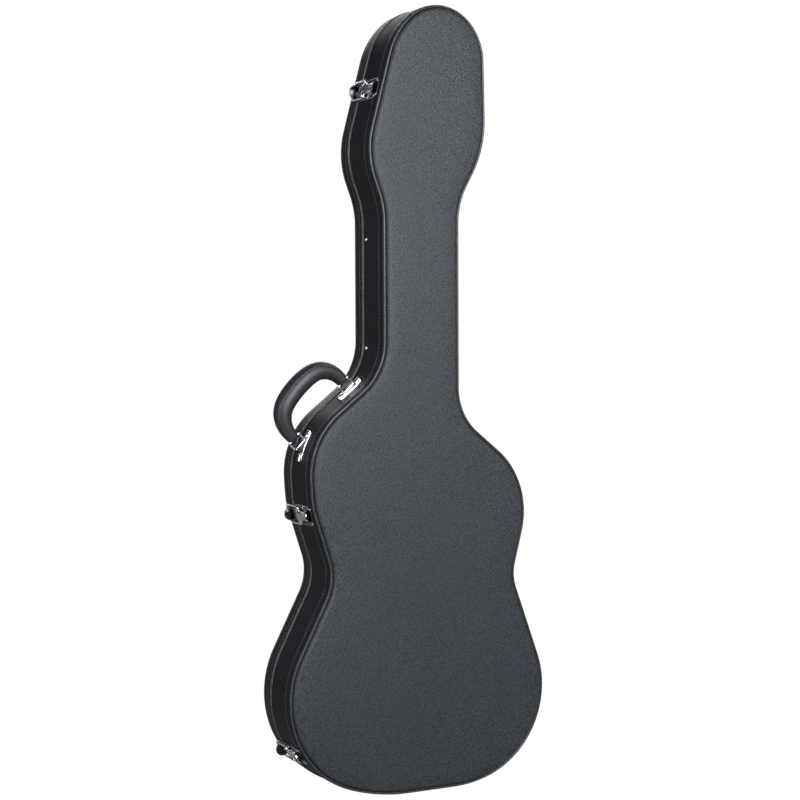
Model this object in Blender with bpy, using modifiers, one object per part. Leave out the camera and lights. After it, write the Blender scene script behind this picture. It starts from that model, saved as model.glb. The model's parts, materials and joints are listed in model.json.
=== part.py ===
"""Hard-shell case for an electric guitar, standing on its bottom end.

Frame: +Z up along the case's length (headstock end up), +X to the side that carries the hinges,
+Y from the base shell's back panel to the lid. The origin is on the flat bottom end, under the
neck's centre line and midway through the case's depth. Lengths are in millimetres until to_m().
"""

import math

import bmesh
import bpy
from mathutils import Matrix, Vector

MM = 0.001
GAP = 0.3

# Outline of the shell, seen from the back panel: corners (x, z, fillet radius), counter-clockwise.
OUTLINE = [
    (71, 0, 170),
    (227, 43, 126),
    (140, 283, 57),
    (172, 407, 110),
    (122, 453, 61),
    (57, 506, 77),
    (57, 789, 105),
    (99, 866, 148),
    (96, 1005, 73),
    (39, 1084, 65),
    (-39, 1013, 107),
    (-82, 852, 115),
    (-56, 783, 117),
    (-56, 566, 85),
    (-167, 479, 105),
    (-161, 390, 110),
    (-130, 294, 66),
    (-249, 63, 130),
    (-65, 0, 262),
]
LOWER_BOUT, UPPER_BOUT, HEAD_CORNER = 1, 3, 8
NECK_HALF = 57.0
FAR = 1200.0  # beyond every part of the case, for the ends of cutters
ARC_STEP = math.radians(10)

# Depths: y of the seam between the shells, and how far each shell reaches from it.
SEAM_Y = 17.5
BASE_DEPTH = 60.5
LID_DEPTH = 25.5
SEAM_GAP = 0.6
WALL = 5.0
# Each wall is bent from six strips, three to a side: lowest and highest z of each.
STRIPS = {"lower": (-FAR, 290.0), "upper": (290.0, 540.0), "neck": (540.0, FAR)}

PANEL_THICK = 7.2
PANEL_ROUND = 5.0
PANEL_INSET = 4.2
WELT_RADIUS = 1.7
WELT_INSET = 2.0

VALANCE_THICK = 2.0
VALANCE_RISE = 6.0
VALANCE_DEPTH = 16.0
FLOOR_PAD = 8.0
WALL_PAD = 6.0
LID_PAD = 5.0

# Latches, in a frame with x from the seam towards the lid, y out of the wall and z along it.
LATCH_PLACES = {"top": (-59, 939), "middle": (-156.9, 378.7), "bottom": (-176.9, 61.4)}
LATCH_PIVOT = (-16.5, 4.2)
LATCH_PLATE_FROM, LATCH_PLATE_TO, LATCH_PLATE_WIDTH = -53.5, -1.5, 30.0
EAR_THICK, EAR_RADIUS, EAR_FOOT = 1.2, 3.2, 0.5
HASP_RADIUS, HASP_OFFSET, HASP_REACH, HASP_HALF, HASP_CORNER = 1.2, 6.0, 35.0, 13.5, 2.5
LEVER_HALF, LEVER_LENGTH, LEVER_GAP = 8.5, 34.0, 0.4
LEVER_ROOT, LEVER_TOP, LEVER_UNDER = 2.6, 1.6, 0.4
LEVER_NECK, LEVER_LIP_RUN, LEVER_LIP_RISE, LEVER_LIP_THICK = 5.0, 5.0, 3.4, 1.6
CATCH_FROM, CATCH_TO, CATCH_WIDTH = 2.5, 17.0, 24.0
TONGUE_X, TONGUE_RISE, TONGUE_RADIUS, TONGUE_THICK = 9.6, 3.0, 9.5, 1.2
PLATE_LIFT, PLATE_THICK = 0.2, 1.0
PIN_RADIUS, PIN_CLEARANCE = 1.2, 0.25

# The lid's axis: how far it stands off the lower bout and off the headstock's corner.
HINGE_RISE, HEAD_CLEAR = 5.0, 1.5
HINGE_WIDTH = 30.0
KNUCKLE_RADIUS, KNUCKLE_GAP, KNUCKLE_ROOT = 3.0, 0.2, 5.5
LEAF_FROM, LEAF_TO, LEAF_THICK = 3.4, 17.0, 1.2

HANDLE_Y = -10.0
HANDLE_UPPER, HANDLE_LOWER = (-91.4, 544.1), (-162.2, 471.2)
RING_HALF, RING_HEIGHT, RING_WIRE, RING_CORNER = 9.5, 12.0, 1.5, 2.0
BRACKET_LENGTH, BRACKET_HALF, BRACKET_THICK = 43.0, 8.5, 1.2
SADDLE_WIDTH, SADDLE_WALL, SADDLE_DROP = 13.0, 1.9, 16.0
RIDGE_FROM, RIDGE_TO = 12.0, 21.0
# Half of the grip: inset from the ring's centre, height over the swing axis, and radius.
GRIP_STATIONS = [
    (0, 8, 6.0),
    (0, 12, 7.4),
    (0, 13.8, 7.6),
    (0.3, 17, 9.2),
    (1.5, 28, 10.2),
    (6, 38.5, 11.6),
    (15, 48, 12.9),
    (29, 53.4, 13.7),
]
GRIP_CROWN_HEIGHT, GRIP_CROWN_RADIUS = 55.4, 13.9

BOX_BOTTOM, BOX_TOP = 566.0, 700.0
BOX_RIM_Y = -13.0
BOX_WALL, BOX_LID_THICK, BOX_LID_PLAY, TAB_THICK = 5.0, 4.0, 0.6, 1.5
TAB_FROM, TAB_LENGTH, TAB_HALF = 4.0, 18.0, 6.0
CRADLE_BOTTOM, CRADLE_TOP = 752.0, 790.0
CRADLE_UNDER_SEAM = 4.0
NOTCH_RADIUS, NOTCH_OVER_SEAM = 29.0, 4.0

# Outlines (x, z) of the foam pads, trimmed to the lined cavity.
PADS = {
    "waist_pad_left": [(-140, 250), (-100, 268), (-94, 292), (-100, 316), (-150, 336)],
    "waist_pad_right": [(150, 242), (104, 262), (98, 284), (104, 306), (156, 326)],
    "shoulder_pad_left": [(-90, 500), (-40, 512), (-30, 520), (-30, 558), (-90, 558)],
    "shoulder_pad_right": [(90, 470), (90, 558), (30, 558), (30, 498), (40, 484)],
}
PAD_TOP_UNDER_SEAM = 6.0

STUD_HEIGHTS = {"upper": 742, "lower": 597}
STUD_UNDER_SEAM, STUD_BASE, STUD_TOP, STUD_RISE = 9.0, 2.6, 1.2, 1.4

BLACK_VINYL = (0.022, 0.024, 0.027)
PANEL_VINYL = (0.055, 0.062, 0.07)
PIPING = (0.03, 0.032, 0.036)
CHROME = (0.78, 0.78, 0.8)
PLUSH = (0.02, 0.02, 0.022)
HANDLE_BLACK = (0.02, 0.02, 0.021)

parts = None
cutters = None


# ---------------------------------------------------------------- scene and materials


def clear_scene():
    for obj in list(bpy.data.objects):
        bpy.data.objects.remove(obj)


def new_collection(name, hidden=False):
    collection = bpy.data.collections.new(name)
    collection.hide_render = hidden
    bpy.context.scene.collection.children.link(collection)
    return collection


def material(name, colour, roughness, metallic=0.0):
    found = bpy.data.materials.get(name)
    if found:
        return found
    made = bpy.data.materials.new(name)
    made.use_nodes = True
    shader = made.node_tree.nodes["Principled BSDF"]
    shader.inputs["Base Color"].default_value = (*colour, 1)
    shader.inputs["Roughness"].default_value = roughness
    shader.inputs["Metallic"].default_value = metallic
    return made


def vinyl():
    return material("black_vinyl", BLACK_VINYL, 0.5)


def panel_vinyl():
    return material("panel_vinyl", PANEL_VINYL, 0.45)


def piping():
    return material("piping_vinyl", PIPING, 0.35)


def chrome():
    return material("chrome_plate", CHROME, 0.15, 1.0)


def plush():
    return material("black_plush", PLUSH, 0.95)


def handle_plastic():
    return material("handle_vinyl", HANDLE_BLACK, 0.4)


# ---------------------------------------------------------------- outline geometry


def fillet(before, corner, after, radius):
    """The arc that rounds a corner: its centre, its start and its signed sweep."""
    into = (corner - before).normalized()
    out = (after - corner).normalized()
    side = 1 if into.x * out.y - into.y * out.x > 0 else -1
    turn = math.acos(max(-1, min(1, into.dot(out))))
    start = corner - into * radius * math.tan(turn / 2)
    centre = start + Vector((-into.y, into.x)) * radius * side
    return centre, start, side * turn


def corner_arc(index):
    count = len(OUTLINE)
    here = Vector(OUTLINE[index][:2])
    before = Vector(OUTLINE[index - 1][:2])
    after = Vector(OUTLINE[(index + 1) % count][:2])
    return fillet(before, here, after, OUTLINE[index][2])


def outline_points():
    """Points of the outline with their outward normals, in order."""
    found = []
    for index in range(len(OUTLINE)):
        centre, start, sweep = corner_arc(index)
        steps = max(2, round(abs(sweep) / ARC_STEP))
        spoke = start - centre
        outward = 1 if sweep > 0 else -1
        for step in range(steps + 1):
            turned = spoke.copy()
            turned.rotate(Matrix.Rotation(sweep * step / steps, 2))
            found.append((centre + turned, turned.normalized() * outward))
    return found


def offset_outline(offset):
    """The outline moved outwards by an offset, or inwards by a negative one."""
    return [tuple(point + normal * offset) for point, normal in outline_points()]


def nearest(place):
    """Index of the outline point nearest to a place."""
    spots = [point for point, _ in outline_points()]
    return min(range(len(spots)), key=lambda i: (spots[i] - Vector(place)).length)


def foot(place):
    """The foot of a place on the outline, and the outward normal there."""
    points = outline_points()
    best = None
    for (a, normal_a), (b, normal_b) in zip(points, points[1:] + points[:1]):
        along = b - a
        if along.length < 1e-6:
            continue
        share = max(0, min(1, (Vector(place) - a).dot(along) / along.length_squared))
        spot = a + along * share
        away = (Vector(place) - spot).length
        if best is None or away < best[0]:
            best = (away, spot, normal_a.lerp(normal_b, share).normalized())
    return best[1], best[2]


def along_outline(place, length, offset):
    """Points that follow the outline for a length either way from a place."""
    points = [point + normal * offset for point, normal in outline_points()]
    start = nearest(place)
    count = len(points)
    centre = Vector(foot(place)[0]) + foot(place)[1] * offset
    sides = []
    for step in (-1, 1):
        index = start
        if (points[index] - centre).dot(points[(start + step) % count] - points[start]) <= 0:
            index += step
        left, here, side = length / 2, centre, []
        while left > 0:
            there = points[index % count]
            run = (there - here).length
            if run > left:
                there = here.lerp(there, left / run)
            if run > 1e-6:
                side.append(there)
            left -= run
            here = there
            index += step
        sides.append(side)
    return list(reversed(sides[0])) + [centre] + sides[1]


# ---------------------------------------------------------------- solids


def to_m(values):
    return [value * MM for value in values]


def link(name, data, look, where=None, parent=None):
    obj = bpy.data.objects.new(name, data)
    (where or parts).objects.link(obj)
    if look:
        data.materials.append(look)
    obj.parent = parent
    return obj


def add_spline(curve, points, closed=True):
    spline = curve.splines.new("POLY")
    spline.points.add(len(points) - 1)
    for slot, point in zip(spline.points, points):
        x, y, z = (*point, 0)[:3]
        slot.co = (x * MM, y * MM, z * MM, 1)
    spline.use_cyclic_u = closed
    return spline


def flat_curve(name, loops, thickness):
    curve = bpy.data.curves.new(name, "CURVE")
    curve.dimensions = "2D"
    curve.fill_mode = "BOTH"
    curve.extrude = thickness / 2 * MM
    for loop in loops:
        add_spline(curve, loop)
    return curve


def as_mesh(obj):
    """Replace a curve object by the welded mesh it draws."""
    bpy.context.view_layer.update()
    graph = bpy.context.evaluated_depsgraph_get()
    data = bpy.data.meshes.new_from_object(obj.evaluated_get(graph))
    work = bmesh.new()
    work.from_mesh(data)
    bmesh.ops.remove_doubles(work, verts=work.verts, dist=1e-6)
    bmesh.ops.recalc_face_normals(work, faces=work.faces)
    work.to_mesh(data)
    work.free()
    made = bpy.data.objects.new("temporary", data)
    for collection in obj.users_collection:
        collection.objects.link(made)
    made.parent = obj.parent
    made.matrix_parent_inverse = obj.matrix_parent_inverse
    made.matrix_basis = obj.matrix_basis
    name, curve = obj.name, obj.data
    bpy.data.objects.remove(obj)
    bpy.data.curves.remove(curve)
    made.name = name
    return made


def slab(name, loops, low, high, look, where=None):
    """Loops in the XZ plane extruded from y = low to y = high, as a mesh."""
    curve = flat_curve(name, loops, high - low)
    obj = link(name, curve, look, where)
    obj.location = to_m((0, (low + high) / 2, 0))
    obj.rotation_euler = (math.radians(90), 0, 0)
    return as_mesh(obj)


def profile(name, loops, width, look, parent, centre=0.0, where=None):
    """Loops in the parent's XY plane extruded along its Z, centred on z = centre."""
    obj = link(name, flat_curve(name, loops, width), look, where, parent)
    obj.location = to_m((0, 0, centre))
    return as_mesh(obj)


def wire(name, points, radius, look, parent=None, closed=False, sides=1):
    curve = bpy.data.curves.new(name, "CURVE")
    curve.dimensions = "3D"
    curve.bevel_depth = radius * MM
    curve.bevel_resolution = sides
    curve.use_fill_caps = True
    add_spline(curve, points, closed)
    return link(name, curve, look, None, parent)


def rod(name, radius, length, look, parent, at=(0, 0, 0), where=None, sides=16, top=None):
    """A cylinder along the parent's Z, or a cone where the top's radius differs."""
    data = bpy.data.meshes.new(name)
    work = bmesh.new()
    bmesh.ops.create_cone(
        work,
        cap_ends=True,
        segments=sides,
        radius1=radius * MM,
        radius2=(top or radius) * MM,
        depth=length * MM,
    )
    work.to_mesh(data)
    work.free()
    obj = link(name, data, look, where, parent)
    obj.location = to_m(at)
    return obj


def block(name, low, high, look, parent=None, where=None):
    """A box between two corners in the parent's frame."""
    data = bpy.data.meshes.new(name)
    work = bmesh.new()
    bmesh.ops.create_cube(work, size=1)
    size = [b - a for a, b in zip(low, high)]
    bmesh.ops.scale(work, vec=to_m(size), verts=work.verts)
    work.to_mesh(data)
    work.free()
    obj = link(name, data, look, where, parent)
    obj.location = to_m([(a + b) / 2 for a, b in zip(low, high)])
    return obj


def circle(centre, radius, count=16):
    angles = [2 * math.pi * step / count for step in range(count)]
    return [(centre[0] + radius * math.cos(a), centre[1] + radius * math.sin(a)) for a in angles]


def arc(centre, radius, first, last, count):
    """Points of an arc between two angles in degrees."""
    angles = [math.radians(first + (last - first) * step / count) for step in range(count + 1)]
    return [(centre[0] + radius * math.cos(a), centre[1] + radius * math.sin(a)) for a in angles]


def boolean(obj, other, operation):
    cut = obj.modifiers.new(operation.lower(), "BOOLEAN")
    cut.operation = operation
    cut.object = other
    cut.solver = "EXACT"


def bevel(obj, width, segments, angle=50):
    soft = obj.modifiers.new("edges", "BEVEL")
    soft.width = width * MM
    soft.segments = segments
    soft.limit_method = "ANGLE"
    soft.angle_limit = math.radians(angle)


def smooth(obj, angle=35):
    obj.data.shade_smooth()
    obj.data.set_sharp_from_angle(angle=math.radians(angle))


def local_frame(name, origin, across, outward):
    """An empty whose X is `across` and whose Y is `outward`."""
    x = Vector(across).normalized()
    y = Vector(outward).normalized()
    z = x.cross(y)
    obj = bpy.data.objects.new(name, None)
    obj.empty_display_size = 0.02
    parts.objects.link(obj)
    basis = Matrix((x, y, z)).transposed().to_4x4()
    basis.translation = Vector(to_m(origin))
    obj.matrix_world = basis
    return obj


# ---------------------------------------------------------------- shells


def strip_box(name, side, bottom, top):
    """A box round one strip of a wall: one side of the case, between two heights."""
    low = (min(side * GAP / 2, side * FAR), -FAR, bottom + GAP / 2)
    high = (max(side * GAP / 2, side * FAR), FAR, top - GAP / 2)
    box = block(name + "_box", low, high, None, where=cutters)
    box.display_type = "WIRE"
    return box


def rim(name, low, high):
    """The bent wall of one shell, as strips that meet end to end."""
    for label, side in (("left", -1), ("right", 1)):
        for part, (bottom, top) in STRIPS.items():
            loops = [offset_outline(0), offset_outline(-WALL)]
            strip = slab(f"{name}_{label}_{part}", loops, low, high, vinyl())
            boolean(strip, strip_box(strip.name, side, bottom, top), "INTERSECT")
            smooth(strip)


def panel(name, face, outward):
    """A flat panel closing a shell; face is the wall's edge, outward the panel's side."""
    inner = face + outward * GAP
    outer = inner + outward * PANEL_THICK
    loop = offset_outline(-PANEL_INSET)
    obj = slab(name, [loop], min(inner, outer), max(inner, outer), panel_vinyl())
    edge = obj.modifiers.new("rounded_rim", "BEVEL")
    edge.width = PANEL_ROUND * MM
    edge.segments = 3
    edge.limit_method = "WEIGHT"
    weights = obj.data.attributes.new("bevel_weight_edge", "FLOAT", "EDGE")
    for index, line in enumerate(obj.data.edges):
        ends = [obj.matrix_world @ obj.data.vertices[v].co for v in line.vertices]
        rim_edge = all(abs(end.y - outer * MM) < 1e-5 for end in ends)
        weights.data[index].value = 1.0 if rim_edge and is_boundary(obj, line) else 0.0
    smooth(obj)


def is_boundary(obj, line):
    """Whether an edge of the slab's face runs along its outline."""
    faces = [
        face.normal
        for face in obj.data.polygons
        if line.vertices[0] in face.vertices and line.vertices[1] in face.vertices
    ]
    return len(faces) == 2 and faces[0].dot(faces[1]) < 0.5


def welt(name, y):
    """The piping round the corner between a wall and its panel."""
    points = [(x, y, z) for x, z in offset_outline(-WELT_INSET)]
    wire(name, points, WELT_RADIUS, piping(), closed=True, sides=1)


def shells():
    base_edge = SEAM_Y - BASE_DEPTH + WELT_RADIUS + GAP
    lid_edge = SEAM_Y + LID_DEPTH - WELT_RADIUS - GAP
    rim("base_rim", base_edge, SEAM_Y - SEAM_GAP / 2)
    rim("lid_rim", SEAM_Y + SEAM_GAP / 2, lid_edge)
    panel("base_panel", base_edge, -1)
    panel("lid_panel", lid_edge, 1)
    welt("base_welt", base_edge - GAP - WELT_RADIUS)
    welt("lid_welt", lid_edge + GAP + WELT_RADIUS)
    return base_edge, lid_edge


def valance():
    """The tongue inside the base's wall that guides the lid."""
    outer = -WALL - GAP
    loops = [offset_outline(outer), offset_outline(outer - VALANCE_THICK)]
    low, high = SEAM_Y - VALANCE_DEPTH, SEAM_Y + VALANCE_RISE
    smooth(slab("base_valance", loops, low, high, vinyl()))


# ---------------------------------------------------------------- lining and interior


def linings(base_edge, lid_edge):
    base_floor = base_edge + FLOOR_PAD
    inside = -WALL - GAP
    slab("base_floor_lining", [offset_outline(inside)], base_edge, base_floor, plush())
    slab("lid_floor_lining", [offset_outline(inside)], lid_edge - LID_PAD, lid_edge, plush())
    wall_out = inside - VALANCE_THICK - GAP
    loops = [offset_outline(wall_out), offset_outline(wall_out - WALL_PAD)]
    slab("base_wall_lining", loops, base_floor + GAP, SEAM_Y - 2, plush())
    loops = [offset_outline(inside), offset_outline(inside - WALL_PAD / 2)]
    low = SEAM_Y + VALANCE_RISE + 1
    slab("lid_wall_lining", loops, low, lid_edge - LID_PAD - GAP, plush())
    return base_floor + GAP, wall_out - WALL_PAD - GAP


def pad_clip(clear):
    """A cutter the shape of the lined cavity, for trimming pads to its sides."""
    loop = [offset_outline(clear)]
    obj = slab("lined_cavity", loop, -FAR, FAR, None, cutters)
    obj.display_type = "WIRE"
    return obj


def trimmed_slab(name, loop, low, high, cavity):
    obj = slab(name, [loop], low, high, plush())
    boolean(obj, cavity, "INTERSECT")
    return obj


def body_pads(floor, cavity):
    """Foam blocks that hold the guitar's body: one in each shoulder and one at each side's waist."""
    for name, loop in PADS.items():
        trimmed_slab(name, loop, floor, SEAM_Y - PAD_TOP_UNDER_SEAM, cavity)


def across(low, high, half):
    """A rectangle across the case between two heights, reaching `half` either side of the middle."""
    return [(-half, low), (half, low), (half, high), (-half, high)]


def accessory_box(floor, cavity):
    """The compartment under the neck: two cross walls and a hinged lid with a pull tab."""
    for name, low in (("box_lower_wall", BOX_BOTTOM), ("box_upper_wall", BOX_TOP - BOX_WALL)):
        loop = across(low, low + BOX_WALL, 2 * NECK_HALF)
        trimmed_slab(name, loop, floor, BOX_RIM_Y - GAP, cavity)
    half = NECK_HALF - WALL - VALANCE_THICK - WALL_PAD - 4 * GAP - BOX_LID_PLAY
    loop = across(BOX_BOTTOM, BOX_TOP, half)
    lid_top = BOX_RIM_Y + BOX_LID_THICK
    bevel(slab("box_lid", [loop], BOX_RIM_Y, lid_top, plush()), 1.0, 1)
    middle = (BOX_BOTTOM + BOX_TOP) / 2
    near, far = TAB_FROM - half, TAB_FROM + TAB_LENGTH - half
    tab = [(near, middle - TAB_HALF), (far, middle - TAB_HALF)]
    tab += arc((far, middle), TAB_HALF, -75, 75, 6)
    tab += [(far, middle + TAB_HALF), (near, middle + TAB_HALF)]
    slab("box_lid_tab", [tab], lid_top + GAP, lid_top + GAP + TAB_THICK, vinyl())


def neck_cradle(floor, cavity):
    """A block across the neck channel with a rounded notch for the neck."""
    low, high = CRADLE_BOTTOM, CRADLE_TOP
    loop = across(low, high, 2 * NECK_HALF)
    obj = trimmed_slab("neck_cradle", loop, floor, SEAM_Y - CRADLE_UNDER_SEAM, cavity)
    origin = (0, SEAM_Y + NOTCH_OVER_SEAM, (low + high) / 2)
    frame = local_frame("cradle_axis", origin, (1, 0, 0), (0, 1, 0))
    notch = rod("neck_notch", NOTCH_RADIUS, 2 * (high - low), None, frame, where=cutters, sides=32)
    notch.display_type = "WIRE"
    boolean(obj, notch, "DIFFERENCE")


# ---------------------------------------------------------------- handle


def handle_frame():
    upper, lower = Vector(HANDLE_UPPER), Vector(HANDLE_LOWER)
    middle = (upper + lower) / 2
    along = (upper - lower).normalized()
    chord = (along.x, 0, along.y)
    outward = (-along.y, 0, along.x)
    origin = (middle.x, HANDLE_Y, middle.y)
    return local_frame("handle_axis", origin, chord, outward), (upper - lower).length / 2


def grip(frame, ring_x):
    """The arched grip, thicker in the middle, with a cross hole for a ring in each end."""
    right = [((ring_x - inset, height), radius) for inset, height, radius in GRIP_STATIONS]
    left = [((-x, y), radius) for (x, y), radius in right]
    points = left + [((0, GRIP_CROWN_HEIGHT), GRIP_CROWN_RADIUS)] + right[::-1]
    curve = bpy.data.curves.new("handle_grip", "CURVE")
    curve.dimensions = "3D"
    curve.bevel_depth = MM
    curve.bevel_resolution = 4
    curve.use_fill_caps = True
    spline = add_spline(curve, [point for point, _ in points], closed=False)
    for slot, (_, radius) in zip(spline.points, points):
        slot.radius = radius
    obj = as_mesh(link("handle_grip", curve, handle_plastic(), None, frame))
    for side in (-1, 1):
        turned = bpy.data.objects.new("ring_hole_frame", None)
        cutters.objects.link(turned)
        turned.parent = frame
        turned.location = to_m((side * ring_x, RING_HEIGHT, 0))
        turned.rotation_euler = (0, math.radians(90), 0)
        hole = rod("ring_hole", RING_WIRE + GAP, 4 * RING_HALF, None, turned, where=cutters)
        hole.display_type = "WIRE"
        boolean(obj, hole, "DIFFERENCE")
    smooth(obj)


def ring_points(middle):
    """A rectangular loop with rounded corners, its lower bar on the swing axis."""
    half, high, turn = RING_HALF, RING_HEIGHT, RING_CORNER
    corners = [
        ((middle + half - turn, turn), 270),
        ((middle + half - turn, high - turn), 0),
        ((middle - half + turn, high - turn), 90),
        ((middle - half + turn, turn), 180),
    ]
    points = []
    for centre, start in corners:
        points += arc(centre, turn, start, start + 90, 2)
    return points


def bracket(name, place, frame, middle, wall_cut):
    """A plate on the wall with a raised ridge; the ring's lower bar turns in its middle run."""
    inner = along_outline(place, BRACKET_LENGTH, PLATE_LIFT)
    outer = along_outline(place, BRACKET_LENGTH, PLATE_LIFT + BRACKET_THICK)
    low, high = HANDLE_Y - BRACKET_HALF, HANDLE_Y + BRACKET_HALF
    plate = slab(name, [inner + outer[::-1]], low, high, chrome())
    turned = bpy.data.objects.new(name + "_ridge_frame", None)
    cutters.objects.link(turned)
    turned.parent = frame
    turned.location = to_m((middle, 0, 0))
    turned.rotation_euler = (0, math.radians(90), 0)
    bore = RING_WIRE + GAP
    radius = bore + SADDLE_WALL
    outside = [(radius, -SADDLE_DROP)] + arc((0, 0), radius, 0, 180, 8) + [(-radius, -SADDLE_DROP)]
    end_middle, end_width = (RIDGE_FROM + RIDGE_TO) / 2, RIDGE_TO - RIDGE_FROM
    runs = [
        ([outside, circle((0, 0), bore, 12)], SADDLE_WIDTH, 0),
        ([outside], end_width, -end_middle),
        ([outside], end_width, end_middle),
    ]
    for loops, width, centre in runs:
        run = profile(name + "_ridge", loops, width, None, turned, centre, cutters)
        run.display_type = "WIRE"
        boolean(plate, run, "UNION")
    boolean(plate, wall_cut, "DIFFERENCE")


def handle(wall_cut):
    frame, ring_x = handle_frame()
    grip(frame, ring_x)
    places = {"upper": (HANDLE_UPPER, ring_x), "lower": (HANDLE_LOWER, -ring_x)}
    for label, (place, middle) in places.items():
        wire("handle_ring_" + label, ring_points(middle), RING_WIRE, chrome(), frame, True)
        bracket("handle_bracket_" + label, place, frame, middle, wall_cut)


# ---------------------------------------------------------------- latches


def wall_plate(name, place, width, near, far):
    """A thin plate that follows the wall, between two distances from the seam."""
    inner = along_outline(place, width, PLATE_LIFT)
    outer = along_outline(place, width, PLATE_LIFT + PLATE_THICK)
    return slab(name, [inner + outer[::-1]], SEAM_Y + near, SEAM_Y + far, chrome())


def latch_plate(name, frame, place):
    """The plate on the base's wall with two ears for the lever's pin."""
    plate = wall_plate(name, place, LATCH_PLATE_WIDTH, LATCH_PLATE_FROM, LATCH_PLATE_TO)
    outside = [(LATCH_PIVOT[0] + EAR_RADIUS, EAR_FOOT)]
    outside += arc(LATCH_PIVOT, EAR_RADIUS, 0, 180, 8)
    outside += [(LATCH_PIVOT[0] - EAR_RADIUS, EAR_FOOT)]
    hole = circle(LATCH_PIVOT, PIN_RADIUS + PIN_CLEARANCE, 12)
    for side in (-1, 1):
        centre = side * (LEVER_HALF + LEVER_GAP + EAR_THICK / 2)
        ear = profile(name + "_ear", [outside, hole], EAR_THICK, None, frame, centre, cutters)
        ear.display_type = "WIRE"
        boolean(plate, ear, "UNION")


def latch_lever(name, frame):
    """The lever: a thick root round its pin and the hasp's bar, thinning to a lifted lip."""
    px, py = LATCH_PIVOT
    hx = px - HASP_OFFSET
    thin = hx - LEVER_NECK
    tip = px - LEVER_LENGTH
    bend = tip + LEVER_LIP_RUN
    outline = arc((px, py), LEVER_ROOT, -90, 90, 8)
    outline += [(hx, py + LEVER_ROOT), (thin, py + LEVER_TOP), (bend, py + LEVER_TOP)]
    outline += [(tip, py + LEVER_LIP_RISE), (tip, py + LEVER_LIP_RISE - LEVER_LIP_THICK)]
    outline += [(bend, py - LEVER_UNDER), (thin, py - LEVER_UNDER), (hx, py - LEVER_ROOT)]
    pin = circle((px, py), PIN_RADIUS + PIN_CLEARANCE, 12)
    bar = circle((hx, py), HASP_RADIUS + PIN_CLEARANCE, 12)
    profile(name, [outline, pin, bar], 2 * LEVER_HALF, chrome(), frame)


def latch_hasp(name, frame):
    """A wire loop from the lever to the catch."""
    back = LATCH_PIVOT[0] - HASP_OFFSET
    front = back + HASP_REACH
    half, turn = HASP_HALF - HASP_RADIUS, HASP_CORNER
    corners = [
        ((front - turn, turn - half), 270),
        ((front - turn, half - turn), 0),
        ((back + turn, half - turn), 90),
        ((back + turn, turn - half), 180),
    ]
    points = []
    for centre, start in corners:
        points += [(x, LATCH_PIVOT[1], z) for x, z in arc(centre, turn, start, start + 90, 3)]
    wire(name, points, HASP_RADIUS, chrome(), frame, closed=True)


def latch_catch(name, frame, place, wall_cut):
    """The plate on the lid's wall with a round tongue that stands up inside the hasp."""
    plate = wall_plate(name, place, CATCH_WIDTH, CATCH_FROM, CATCH_TO)
    turned = bpy.data.objects.new(name + "_tongue_frame", None)
    cutters.objects.link(turned)
    turned.parent = frame
    turned.location = to_m((TONGUE_X, TONGUE_RISE, 0))
    turned.rotation_euler = (0, math.radians(90), 0)
    tongue = rod(name + "_tongue", TONGUE_RADIUS, TONGUE_THICK, None, turned, where=cutters, sides=28)
    tongue.display_type = "WIRE"
    boolean(plate, tongue, "UNION")
    boolean(plate, wall_cut, "DIFFERENCE")


def latch(label, place, wall_cut):
    spot, normal = foot(place)
    origin = (spot.x, SEAM_Y, spot.y)
    frame = local_frame(f"latch_{label}_frame", origin, (0, 1, 0), (normal.x, 0, normal.y))
    prefix = "latch_" + label
    latch_plate(prefix + "_plate", frame, place)
    latch_lever(prefix + "_lever", frame)
    latch_hasp(prefix + "_hasp", frame)
    latch_catch(prefix + "_catch", frame, place, wall_cut)
    length = 2 * (LEVER_HALF + LEVER_GAP + EAR_THICK + 0.2)
    rod(prefix + "_pin", PIN_RADIUS, length, chrome(), frame, at=(*LATCH_PIVOT, 0))


# ---------------------------------------------------------------- hinges


def hinge_axis():
    """A point on the lid's axis, seen from the back panel, and the outward direction there.

    The axis is the straight line that stands off the lower bout by HINGE_RISE and off the
    headstock's corner by HEAD_CLEAR, so that no part of the wall lies outside it.
    """
    low_centre, low_radius = corner_arc(LOWER_BOUT)[0], OUTLINE[LOWER_BOUT][2] + HINGE_RISE
    high_centre, high_radius = corner_arc(HEAD_CORNER)[0], OUTLINE[HEAD_CORNER][2] + HEAD_CLEAR
    between = high_centre - low_centre
    lean = math.asin((low_radius - high_radius) / between.length)
    along = between.normalized()
    normal = Vector((along.y, -along.x))
    normal.rotate(Matrix.Rotation(lean, 2))
    return low_centre + normal * low_radius, normal


def knuckle(name, side, frame, rise, width, centre):
    """One knuckle with the web that joins it to its leaf; side is -1 base, 1 lid."""
    middle = (0, rise)
    web = [(side * KNUCKLE_ROOT, GAP + 0.1), (side * KNUCKLE_ROOT, GAP + LEAF_THICK + 0.1)]
    if side > 0:
        shape = arc(middle, KNUCKLE_RADIUS, 0, 225, 12) + web
    else:
        shape = arc(middle, KNUCKLE_RADIUS, -45, 180, 12) + web[::-1]
    hole = circle(middle, PIN_RADIUS + PIN_CLEARANCE, 12)
    obj = profile(name, [shape, hole], width, None, frame, centre, cutters)
    obj.display_type = "WIRE"
    return obj


def hinge_leaf(name, side, frame, rise, knuckles):
    near, far = side * LEAF_FROM, side * LEAF_TO
    low = (min(near, far), GAP, -HINGE_WIDTH / 2)
    high = (max(near, far), GAP + LEAF_THICK, HINGE_WIDTH / 2)
    leaf = block(name, low, high, chrome(), frame)
    for index, (width, centre) in enumerate(knuckles):
        part = knuckle(f"{name}_knuckle_{index}", side, frame, rise, width, centre)
        boolean(leaf, part, "UNION")


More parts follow.
